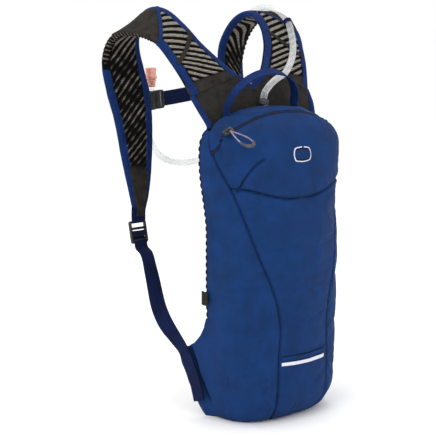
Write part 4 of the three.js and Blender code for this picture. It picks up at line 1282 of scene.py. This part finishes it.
# %% [markdown]
# ### Edge bindings
#
# A grosgrain tape is folded over each raw edge of a pad and sewn through, so its section is a U that
# grips the foam. It is swept along the edge curve. The inner tape runs the whole strap and down to the
# V of the yoke. The outer one stops over the shoulder's crest, where the bare foam edge shows.

# %% Binding sweep
TAPE_FOLD = 8.4
TAPE_GAP = 0.9
STRAP_TAPE_THICKNESS = 0.9


def binding(name, strap, t_rows, outer, start_taper=0.0):
    """The folded tape along one edge of a strap, over the rows of t."""
    inward = -1.0 if outer else 1.0
    edge = 1.0 if outer else 0.0
    width = strap.width(t_rows)[:, None]
    half = PAD_EDGE_HALF + 0.3
    bend = np.linspace(-np.pi / 2, np.pi / 2, 11)
    reach = np.concatenate([[TAPE_FOLD, TAPE_FOLD - 0.7, 3.4, 1.2], -1.5 * np.cos(bend)[1:-1] - 0.2,
                            [1.2, 3.4, TAPE_FOLD - 0.7, TAPE_FOLD]])
    rise = np.concatenate([[-1.42, -1.5, -1.5, -1.25], np.sin(bend)[1:-1], [1.25, 1.5, 1.5, 1.42]]) * half
    inside_reach = reach[::-1] + np.where(reach[::-1] < TAPE_FOLD - 0.5, TAPE_GAP, 0)
    inside_rise = rise[::-1] * 0.72
    reach, rise = np.concatenate([reach, inside_reach]), np.concatenate([rise, inside_rise])
    along = running_length(strap.at(t_rows, edge, 0))
    narrow = 0.35 + 0.65 * step(along, 0, start_taper) if start_taper else np.ones(len(t_rows))
    ripple = 1 + 0.05 * np.sin(along / 5.5) + 0.04 * np.sin(along / 2.9 + 1)
    share = edge + inward * reach[None, :] * ripple[:, None] / width
    lift = rise[None, :] * narrow[:, None]
    piece = ring_skin(name, strap.at(t_rows[:, None] + 0 * share, share, lift))
    smooth(piece, 50)
    return piece


for side in ("right", "left"):
    strap = Strap(side)
    finish(binding(f"inner_tape_{side}", strap, np.linspace(0.0, 1, 300), outer=False), GROSGRAIN, "pack",
           f"inner_binding_{side}", slot="blue_binding")
    lower = binding(f"outer_tape_{side}", strap, np.linspace(0.63, 1, 130), outer=True, start_taper=6)
    finish(lower, GROSGRAIN, "pack", f"outer_binding_{side}", slot="blue_binding")
    upper = binding(f"shoulder_tape_{side}", strap, np.linspace(0.0, 0.24, 90), outer=True)
    finish(upper, GROSGRAIN, "pack")


def band_over_strap(name, ends, span, width, columns, rows, lift):
    """A band across a strap. ends are its places along the strap at the inner and the outer edge, and
    span the shares of the strap's width that it covers."""
    strap = Strap(side)

    def place(s, t):
        share = span[0] + (span[1] - span[0]) * t
        centre = ends[0] + (ends[1] - ends[0]) * share
        return strap.at(centre + (0.5 - s) * width, share, half_thickness(share) + lift(s, t, share))

    piece = cloth_grid(f"{name}_{side}", columns, rows, place, (7, rows))
    thicken(piece, STRAP_TAPE_THICKNESS)
    return piece


# The tape covers the seam between the slit foam and the plain knit. The elastic keeper over the strap's
# root is there to tuck the tube under.
for side in ("right", "left"):
    tape = band_over_strap(
        "crossing_tape", CROSSING, (0.02, 0.99), 0.0155, 8, 60,
        lambda s, t, share: 0.75 + 0.5 * np.sin(np.pi * s) + 0.15 * np.sin(share * 40))
    finish(tape, GROSGRAIN, "pack")
    keeper = band_over_strap(
        "elastic_keeper", (0.205, 0.11), (0.04, 0.96), 0.016, 6, 50,
        lambda s, t, share: 1.2 + 0.35 * np.sin(np.pi * s) + 0.5 * np.sin(np.pi * t))
    finish(keeper, KNIT, "pack", f"keeper_band_{side}", slot="charcoal_fabric")

# %% [markdown]
# ### Yoke
#
# The yoke is the charcoal panel that both straps grow from. Its front edge runs from each strap's root
# down along the body's top edge, and its upper edge is the V under the tube's port. Blue tape is folded
# over the upper edge and down each side. The panel is one grid from its foot to its upper edge.

# %% Yoke
YOKE_FOOT_X = 92
YOKE_FOOT = (42.5, 378)
YOKE_INTO_FOAM = 370  # and it reaches down into the foam's top
YOKE_TUCK = 9  # how far the yoke's lower edge is tucked in behind the crown
YOKE_LIFT = 2.0
YOKE_THICKNESS = 4.0
YOKE_CORNERS = (94, 96)  # how far out its upper corners are, left and right
YOKE_V = np.array([0, 66, 422])
YOKE_RISE = np.array([20, 68.5, 433])


def yoke_top(s):
    """The upper edge at s from -1 (left) to 1 (right)."""
    s = np.asarray(s, float)
    size, sign = np.abs(s), np.sign(s)
    corner_x = np.where(s > 0, YOKE_CORNERS[1] + RIGHT_SPREAD[0], YOKE_CORNERS[0])
    near = np.clip(size / 0.25, 0, 1)[..., None]
    far = np.clip((size - 0.25) / 0.75, 0, 1)[..., None]
    corner = np.stack([corner_x, 66.5 + 0 * s, 411 + 0 * s], axis=-1)
    point = YOKE_V + (YOKE_RISE - YOKE_V) * near + (corner - YOKE_RISE) * far
    point[..., 2] += 1.6 * np.sin(np.pi * far[..., 0]) - 2.5 * np.exp(-((size / 0.05) ** 2)) + 2.5
    point[..., 0] *= np.where(sign == 0, 0, sign)
    return point


YOKE_OUT = unit(np.array([0, 0.8, -0.5]))


def yoke_face(s, t):
    """A place on the yoke, at s from -1 to 1 across it and t from its foot to its upper edge."""
    fall = superellipse(np.abs(YOKE_FOOT_X * s / HALF_WIDTHS[2]), CROWN_POWER)
    crown_z = BODY_HEIGHT - CROWN_HEIGHT + CROWN_HEIGHT * fall
    foot_z = np.minimum(crown_z - YOKE_TUCK, YOKE_INTO_FOAM)
    foot = np.stack([YOKE_FOOT_X * s, YOKE_FOOT[0] - 1.5 + 0 * s, foot_z], axis=-1)
    point = foot + (yoke_top(s) - foot) * np.asarray(t)[..., None]
    dish = 1.8 * np.sin(np.pi * t) * (1 - s**4) + 0.5 * waves(point.reshape(-1, 3), 17).reshape(s.shape)
    return point - YOKE_OUT * (YOKE_LIFT + dish)[..., None]


yoke = cloth_grid("yoke_cloth", 120, 40, lambda s, t: yoke_face(2 * s - 1, t), (190, 60))
thicken(yoke, YOKE_THICKNESS)
finish(yoke, KNIT, "pack", "yoke_panel", slot="charcoal_fabric")


def flat_tape(name, line, across, width, material, body="pack", nodes=(), slot=None, thickness=1.2,
              crown=0.3):
    """A flat tape along a line. across gives its width direction at each point."""
    line = np.asarray(line, float)
    across = unit(np.asarray(across, float))
    count = len(line)

    def place(s, t):
        row = np.clip(np.round(t * (count - 1)).astype(int), 0, count - 1)
        forward = tangents(line)[row]
        side = across[row] - forward * np.sum(across[row] * forward, axis=1)[:, None]
        out = np.cross(unit(side), forward)
        lift = crown * np.cos(np.pi * (s - 0.5)) + 0.1 * np.sin(row * 1.9)
        return line[row] + unit(side) * ((s - 0.5) * width)[:, None] + out * lift[:, None]

    piece = cloth_grid(name, 10, count - 1, place, (width, running_length(line)[-1]))
    thicken(piece, thickness, rim=0.25)
    return finish(piece, material, body, *nodes, slot=slot)


def yoke_binding():
    """Tape folded over the V, which joins the inner tapes of both straps."""
    s = np.linspace(-0.27, 0.27, 110)
    line = yoke_top(s)
    forward = tangents(line)
    down = unit(np.cross(forward, YOKE_OUT))
    down = down * np.where(down[:, 2:] > 0, -1, 1)
    bend = np.linspace(-np.pi / 2, np.pi / 2, 9)
    reach = np.concatenate([[8, 3], 0.2 - 1.4 * np.cos(bend), [3, 8, 8, 3, 1.2, 1.2, 3, 8]])
    rise = np.concatenate([[-2.9, -3.1], 2.9 * np.sin(bend), [3.1, 2.9, 2.1, 2.1, 1.6, -1.6, -2.1, -2.1]])
    rings = line[:, None] + down[:, None] * reach[None, :, None] + YOKE_OUT * rise[None, :, None]
    piece = ring_skin("yoke_tape", rings)
    smooth(piece, 50)
    return finish(piece, GROSGRAIN, "pack")


yoke_binding()
side_foot = np.array([YOKE_FOOT_X, *YOKE_FOOT])
for side, sign in (("right", 1), ("left", -1)):
    root = Strap(side).at([0.0], [1.0], [0.0])[0]
    foot = side_foot * SIGN[side]
    route = curve_through([foot + (0, -1, -4), foot, (foot + root) / 2 + (sign * 1.2, -1.5, 0), root],
                          np.linspace(0, 1, 50))
    rod = round_rod(f"yoke_side_tape_{side}", route, 4.2, sides=16, flat=0.78, up=YOKE_OUT)
    finish(rod, GROSGRAIN, "pack")
print("yoke edge from", yoke_top(-1.0).round(1).tolist(), "to", yoke_top(1.0).round(1).tolist())

# %% [markdown]
# ### Webbing at the sides
#
# A tab of webbing is sewn to each strap's lower end and holds the ladder lock by its top bar. The
# adjuster webbing comes out of the lock, hangs in a slack bow, turns on edge and is sewn down on a
# triangular wing of pack cloth, which wraps round from the side panel at the foot.

# %% Wings and adjuster webbing
ADJUSTER_CENTRES = [
    (104, 165.6, 226.5), (104, 168.6, 229.6), (104, 171.0, 225.5), (104, 168.0, 221.2), (104, 164.4, 217.3),
    (105, 161, 210), (107, 148, 203), (108, 136, 176), (107, 123, 134), (105, 111, 114), (101, 98, 98),
    (96.7, 86, 82), (96.1, 74, 62), (96.1, 64, 42), (96.1, 57, 22),
]
ADJUSTER_ACROSS = [(1, 0, 0)] * 7 + [
    (0.95, 0.3, 0), (0.7, 0.65, -0.3), (0.3, 0.85, -0.45), (0, 0.87, -0.5), (0, 0.87, -0.5), (0, 0.9, -0.42),
    (0, 0.94, -0.33),
]
WING_EDGE = np.array([
    (55, 0), (59, 6), (70, 28), (82, 48), (93, 64), (98, 76), (92, 85), (80, 90), (68, 97), (57, 108),
    (50, 120), (45, 134),
])  # how far back the wing reaches, and the height
WING_FRONT = 10
WING_TOP = 133
WING_X = 93.5
WEBBING_WIDTH = 20


def valley(y, z):
    """1 along the fold in front of the webbing, where the wing is pulled outwards, and 0 away from it."""
    return np.exp(-(((y - 44 - 0.52 * (z - 26)) / 3.6) ** 2)) * step(z, 14, 34) * (1 - step(z, 84, 96))


def wing(side):
    sign = SIGN[side][0]

    def place(s, t):
        z = 0.8 + (WING_TOP - 0.8) * t
        outer_y = np.interp(z, WING_EDGE[:, 1], WING_EDGE[:, 0])
        y = WING_FRONT + (outer_y - WING_FRONT) * s
        forward = np.clip((BACK_Y - y) / depth(z), 0, 1)
        lift = 0.9 * step(y, WING_FRONT, WING_FRONT + 12) - 0.5
        on_bag = half_width(z) * superellipse(forward, SECTION_POWER) + lift
        far = WING_X + 0.4 - 8 * np.clip(1 - z / 46, 0, 1) ** 2
        blend = step(y, 34, 60)
        x = on_bag + (far - on_bag) * blend + 0.7 * waves(np.stack([z, y, z], axis=1), 15) * step(s, 0.1, 0.4)
        x = x - 4.5 * valley(y, z)
        return np.stack([sign * x, y, z], axis=1)

    piece = cloth_grid(f"wing_cloth_{side}", 50, 90, place, (88, 132))
    y, z = points_of(piece)[:, 1:].T
    # Painted shadow: the sewn attribute darkens the fold's valley in front of the webbing, where there is no
    # seam.
    write_attribute(piece, "sewn", 0.9 * valley(y, z))
    if sign < 0:
        edit(piece, (bpy.ops.mesh.flip_normals, {}))
    thicken(piece, 2.0, rim=0.6)
    return finish(piece, PACK_CLOTH, "pack", f"wing_{side}", slot="body_fabric")


def adjuster(side):
    rows = np.linspace(0, 1, 220)
    mirror = SIGN[side]
    line = curve_through(ADJUSTER_CENTRES, rows) * mirror
    knots = np.linspace(0, 1, len(ADJUSTER_ACROSS))
    across = np.stack([np.interp(rows, knots, part) for part in np.array(ADJUSTER_ACROSS).T], axis=1) * mirror
    tape = flat_tape(f"adjuster_tape_{side}", line, across, WEBBING_WIDTH, WEBBING, body=None,
                     nodes=[f"adjuster_webbing_{side}"], slot="navy_webbing", thickness=1.5)
    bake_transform(tape)
    return tape


def end_tab(side):
    """The tab's two layers, from inside the strap's end down round the lock's top bar and back up."""
    mirror = SIGN[side]
    route = [(103.5, 171.6, 262), (104, 171.4, 252), (104, 170.8, 244), (104, 169, 241.8), (104, 167, 244),
             (104, 166.8, 252), (103.5, 166.6, 262)]
    line = curve_through(route, np.linspace(0, 1, 60)) * mirror
    across = np.tile((1.0, 0, 0), (60, 1))
    return flat_tape(f"end_tab_tape_{side}", line, across, WEBBING_WIDTH, WEBBING, nodes=[f"end_tab_{side}"],
                     slot="navy_webbing", thickness=1.3)


def rounded(name, body, material, slot, rim=0.5, suffix="moulding"):
    """The CAD solid with its edges rounded, as they come out of a mould, in place of the node."""
    deselect()
    piece = bpy.data.objects.new(f"{name}_{suffix}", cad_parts[name].data.copy())
    bpy.context.collection.objects.link(piece)
    edit(piece, (bpy.ops.mesh.remove_doubles, {"threshold": 0.01 * MM}),
         (bpy.ops.mesh.dissolve_limited, {"angle_limit": math.radians(3)}))
    modify(piece, "BEVEL", width=rim * MM, segments=2, limit_method="ANGLE", angle_limit=math.radians(32))
    smooth(piece, 40)
    return finish(piece, material, body, name, slot=slot)


for side in ("right", "left"):
    wing(side)
    adjuster(side)
    end_tab(side)
    rounded(f"ladder_lock_{side}", f"lock_{side}", ACETAL, "black_acetal", rim=0.7)
print("wing back edge, mm", WING_EDGE[:, 0].max())

# %% [markdown]
# ### Haul loop
#
# A strip of grosgrain, sewn into the back seam by both feet. It is a soft band that bows up and a
# little forward.

# %% Haul loop
LOOP_SHIFT = -6
LOOP_HALF_SPAN = 59
LOOP_BASE = 398
LOOP_RISE = 43
LOOP_SLOPE = 0.06
LOOP_LEAN = 0.28
LOOP_AXIS_Y = 40
LOOP_WIDTH = 13


def haul_band():
    angle = np.linspace(0, np.pi, 90)
    across = -LOOP_HALF_SPAN * np.cos(angle)
    bow = np.stack([LOOP_SHIFT + across, LOOP_AXIS_Y - LOOP_LEAN * LOOP_RISE * np.sin(angle),
                    LOOP_BASE + LOOP_SLOPE * across + LOOP_RISE * np.sin(angle)], axis=1)
    feet = bow[[0, -1]] + [(-0.5, -1, -13), (0.5, -1, -13)]
    line = np.vstack([np.linspace(feet[0], bow[0], 10)[:-1], bow, np.linspace(bow[-1], feet[1], 10)[1:]])
    # The band turns a little as it rises, since both its feet are sewn in flat.
    share = np.linspace(0, 1, len(line))
    width_way = np.stack([0.25 * np.sin(2 * np.pi * share), 1 - 0.1 * np.sin(np.pi * share),
                          0.3 + 0.25 * np.sin(np.pi * share)], axis=1)
    band = flat_tape("haul_band", line, width_way, LOOP_WIDTH, GROSGRAIN, body=None, nodes=["haul_loop"],
                     slot="blue_binding", thickness=2.0, crown=0.8)
    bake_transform(band)
    return band


haul_band()
print("haul loop top, mm", LOOP_BASE + LOOP_RISE)

# %% [markdown]
# ### Zip
#
# The zip is sewn in reverse, so from outside it is a dark line between two turned lips of cloth: a
# narrow tape below the surface, with its fine teeth in the gap. The slider has a bridge, and a loop of
# cord through it ends in a moulded grip. The cord makes a teardrop.

# %% Zip tape, teeth and slider
ZIP_CENTRE = ZIP_APEX + ZIP_RADIUS * ZIP_DOWN
ZIP_AXIS = np.array([0, 0.9014, 0.433])
ZIP_TAPE_WIDTH = 7
TOOTH_COUNT = 300
TOOTH_SIZE = np.array([0.62, 1.5, 0.8])  # along the zip, across it and outwards


def zip_point(degrees, lift, rise):
    """A point by the arch: lift is out of its plane and rise is outwards from its centre, in mm."""
    angle = np.radians(degrees)[..., None]
    radial = np.sin(angle) * np.array([1, 0, 0]) - np.cos(angle) * ZIP_DOWN
    return ZIP_CENTRE + radial * (ZIP_RADIUS + rise)[..., None] + ZIP_AXIS * np.asarray(lift)[..., None]


def zip_ribbon():
    def place(s, t):
        u = (2 * t - 1) * 0.93
        z = zip_seam(u) + (s - 0.5) * ZIP_TAPE_WIDTH
        return body_point(u, z) - body_normal(u, z) * 0.9

    piece = cloth_grid("zip_ribbon", 6, 160, place, (ZIP_TAPE_WIDTH, 200))
    thicken(piece, 0.8)
    return finish(piece, WEBBING, "pack", "zip_tape", slot="navy_webbing")


def zip_teeth():
    """Two rows of little blocks, which fit between each other."""
    u = np.linspace(-0.9, 0.9, TOOTH_COUNT)
    z = zip_seam(u)
    centre = body_point(u, z) - body_normal(u, z) * 0.25
    forward, out = tangents(centre), body_normal(u, z)
    side = np.cross(out, forward)
    shift = np.where(np.arange(TOOTH_COUNT) % 2, 0.45, -0.45)[:, None]
    deselect()
    bpy.ops.mesh.primitive_cube_add(size=1)
    block = bpy.context.object
    corners = np.array([v.co for v in block.data.vertices]) * TOOTH_SIZE
    faces = [tuple(p.vertices) for p in block.data.polygons]
    bpy.data.objects.remove(block)
    ways = np.stack([forward, side, out], axis=1)
    points = (centre + side * shift)[:, None] + corners @ ways
    every = [tuple(len(corners) * tooth + i for i in face) for tooth in range(TOOTH_COUNT) for face in faces]
    piece = mesh_piece("zip_teeth", points.reshape(-1, 3), every)
    modify(piece, "BEVEL", width=0.15 * MM, segments=1)
    return finish(piece, COIL, "pack", "zip_chain", slot="black_acetal")


zip_ribbon()
zip_teeth()
rounded("zip_slider", "zip_slider", ACETAL, "black_acetal", rim=0.4)

# %% Zip pull
PULL_TOP = zip_point(np.array(-31.0), -3.0, np.array(8.4)) + (0, -1.5, 0)
PULL_HANG = np.array([9, -22, -13])
PULL_OUT = np.array([0, -0.6, 0.8])
PULL_LENGTH = 33
PULL_SWELL = 13


def pull_loop(share):
    """The cord's teardrop: share runs from the slider round the round end and back."""
    along = unit(PULL_HANG)
    side = unit(np.cross(PULL_OUT, along))
    angle = 2 * np.pi * np.asarray(share)
    reach = PULL_LENGTH / 2 * (1 - np.cos(angle))
    swell = PULL_SWELL * np.sin(angle) * np.sin(angle / 2) ** 1.4
    return PULL_TOP + along * reach[:, None] + side * swell[:, None]


def pull_cord():
    line = pull_loop(np.linspace(0.02, 0.98, 90))
    cord = round_rod("zip_pull_loop", line, 0.85, sides=10)
    return finish(cord, CORD_SKIN, "zip_pull", "zip_pull_cord", slot="grey_rubber")


def pull_grip():
    share = np.linspace(0.36, 0.70, 40)
    taper = 0.45 + 0.55 * np.sin(np.pi * np.linspace(0, 1, 40)) ** 0.5
    centre = pull_loop(np.array([0.5]))[0] - unit(PULL_HANG) * 9
    line = pull_loop(share)
    line = line + unit(line - centre) * 1.1
    grip = round_rod("zip_pull_handle", line, 2.4, sides=16, flat=0.8, up=PULL_OUT, taper=taper)
    return finish(grip, RUBBER, "zip_pull", "zip_pull_grip", slot="grey_rubber")


pull_cord()
pull_grip()
print("zip pull from", PULL_TOP.round(1).tolist())

# %% [markdown]
# ### Trim on the front
#
# Low on the front is a band of the body's cloth that a lamp clips to, and under it a strip of reflective
# tape. Higher up is a small blank badge, a reflective rim round a cloth face. Each is a grid that
# follows the bag.

# %% Front trim
def u_for(x, z):
    """How far round the section a width x lies at height z."""
    share = np.clip(np.abs(x) / half_width(z), 0, 1)
    return np.sign(x) * np.arcsin(share ** (SECTION_POWER / 2)) / (np.pi / 2)


PATCH_CUT = (72, 12)


def patch_on_front(name, columns, rows, outline, lift, thickness, material, nodes=(), slot=None):
    """A patch sewn on the front: outline(s, t) gives x and z in mm, and lift(s, t) how far it stands off."""
    def place(s, t):
        x, z = outline(s, t)
        u = u_for(x, z)
        return body_point(u, z) + puff(u, z) + body_normal(u, z) * (lift(s, t))[:, None]

    piece = cloth_grid(name, columns, rows, place, PATCH_CUT)
    t = uv_at_points(piece)[:, 1] / (PATCH_CUT[1] * MM)
    # Painted shadow with the thread: the sewn attribute darkens the patch along its upper and lower sewn
    # edges.
    write_attribute(piece, "sewn", 1 - step(np.minimum(t, 1 - t), 0.02, 0.2))
    thicken(piece, thickness, rim=0.3)
    return finish(piece, material, "pack", *nodes, slot=slot)


def edge_roll(s, t):
    """1 inside a patch and 0 at its edges, where it is sewn down."""
    return step(np.minimum(s, 1 - s), 0, 0.02) * step(np.minimum(t, 1 - t), 0, 0.12)


def band(foot, height):
    """A straight band low on the front, 74 mm long."""
    return lambda s, t: (74 * s - 40, foot + height * t)


def lozenge(half_x, half_z, centre_z):
    """A rounded lozenge, by squeezing a grid's corners in."""
    def outline(s, t):
        a, b = 2 * s - 1, 2 * t - 1
        x = a * np.sqrt(1 - 0.32 * b**2)
        z = b * np.sqrt(1 - 0.32 * a**2)
        return half_x * x, centre_z + half_z * z
    return outline


BADGE_HEIGHT = 341
LABEL_CUT = (7, 18)
patch_on_front("light_band", 72, 12, band(83.6, 6.5), lambda s, t: 0.5 + 0.9 * edge_roll(s, t), 1.4,
               PACK_CLOTH, ["light_loop"], "body_fabric")
patch_on_front("silver_strip", 72, 5, band(77.6, 4.6), lambda s, t: 0.8 + 0.3 * edge_roll(s, t), 0.9,
               REFLECTIVE, ["reflective_strip"], "reflective")
patch_on_front("badge_rim", 48, 32, lozenge(15, 9.5, BADGE_HEIGHT), lambda s, t: 0.9 + 0 * s, 0.9,
               REFLECTIVE, ["badge"], "reflective")
patch_on_front("badge_face", 44, 28, lozenge(13.6, 8.1, BADGE_HEIGHT), lambda s, t: 1.2 + 0 * s, 0.8,
               PACK_CLOTH)


def side_label():
    low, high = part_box("side_label")
    middle_x = (low.x + high.x) / 2 / MM

    def place(s, t):
        fold = 1.1 * np.sin(np.pi * s)
        return np.stack([middle_x - fold, 37 + 11 * s, 151 + LABEL_CUT[1] * t + 0.4 * s], axis=1)

    piece = cloth_grid("side_label_cloth", 10, 14, place, LABEL_CUT)
    thicken(piece, 1.0, rim=0.2)
    return finish(piece, KNIT, "pack", "side_label", slot="black_acetal")


side_label()
print("front trim ready")

# %% [markdown]
# ### Sternum strap
#
# A strap across the chest keeps the shoulder straps from spreading. A slider runs on a cord rail at
# each side. The right one carries webbing to the buckle's plug and the left one the socket. The two
# prongs of the plug are their own pieces, since they squeeze in.

# %% Sternum strap
SLOPE = 0.09


def chest(x, y):
    """A point on the strap's plane, which leans with the slope of the two shoulder straps."""
    return np.array([x, 205 + y + 0.28 * SLOPE * x, 402 + SLOPE * x])


strap_line = np.array([
    chest(68.4 - 97.4 * share, 8.5 - 5.5 * step(share, 0, 0.35) + 1.2 * math.sin(6 * share))
    for share in np.linspace(0, 1, 80)
])
flat_tape("sternum_tape", strap_line, np.tile((0, 0.28, 0.96), (80, 1)), WEBBING_WIDTH, WEBBING, "sternum",
          ["sternum_webbing_right"], "navy_webbing", thickness=1.5)
for name in ("sternum_slider_left", "sternum_slider_right", "buckle_socket", "buckle_plug", "buckle_magnet"):
    rounded(name, "sternum", ACETAL, "black_acetal")
for name in ("upper", "lower"):
    rounded(f"buckle_prong_{name}", f"prong_{name}", ACETAL, "black_acetal", rim=0.3)
for name in ("left", "right"):
    rounded(f"sternum_rail_{name}", "pack", ACETAL, "black_acetal", rim=0.2)
print("sternum strap length, mm", round(running_length(strap_line)[-1]))

# %% [markdown]
# ## Inside the pack
#
# The reservoir is a flat bag of clear film, closed at the top by a bar that slides over its fold. It
# hangs from a tab. A sleeve of lining keeps it off the things in the front pocket, where a key hook
# hangs. The bag bulges with water, so it is a stack of flattened ovals.

# %% Reservoir and lining
def reservoir_bag():
    low, high = (np.array(corner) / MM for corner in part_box("reservoir"))
    middle, half = (low + high) / 2, (high - low) / 2
    angle = np.linspace(0, 2 * np.pi, 64, endpoint=False)
    rings = []
    for z in np.linspace(low[2], high[2], 90):
        rise = (z - low[2]) / (high[2] - low[2])
        belly = 0.10 + 0.88 * step(rise, 0, 0.22) * (1 - step(rise, 0.62, 1.0))
        corner = 0.80 + 0.2 * step(rise, 0, 0.08) * (1 - 0.4 * step(rise, 0.93, 1))
        x = np.sign(np.cos(angle)) * np.abs(np.cos(angle)) ** 0.8 * half[0] * corner
        y = np.sin(angle) * half[1] * belly * (1 + 0.03 * np.sin(rise * 40 + 3 * np.cos(angle)))
        rings.append(np.stack([middle[0] + x, middle[1] + y, np.full(64, z)], axis=1))
    piece = ring_skin("reservoir_bag", np.array(rings))
    smooth(piece, 60)
    return finish(piece, BAG_FILM, "pack", "reservoir", slot="clear_tube")


def lining_sleeve():
    low, high = (np.array(corner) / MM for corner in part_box("divider_sleeve"))

    def place(s, t):
        x = low[0] + (high[0] - low[0]) * s
        z = low[2] + (high[2] - low[2]) * t
        gather = 0.35 * np.sin(x / 2.3) * step(t, 0.85, 1)
        return np.stack([x, (low[1] + high[1]) / 2 + gather, z], axis=1)

    piece = cloth_grid("lining_sleeve", 120, 60, place, (120, 236))
    thicken(piece, 0.5)
    return finish(piece, LINING, "pack", "divider_sleeve", slot="lining")


reservoir_bag()
lining_sleeve()
rounded("reservoir_hanger", "pack", WEBBING, "navy_webbing", rim=0.2, suffix="tab")
for name, body, material, slot in (
    ("slide_seal_bar", "seal", ACETAL, "black_acetal"), ("outlet_elbow", "pack", RUBBER, "grey_rubber"),
    ("quick_connect_button", "button", ACETAL, "black_acetal"), ("key_clip", "pack", ACETAL, "black_acetal"),
    ("key_hook", "key_hook", ACETAL, "black_acetal"), ("inner_hose", "pack", CLEAR_TUBE, "clear_tube"),
):
    rounded(name, body, material, slot, rim=0.3)
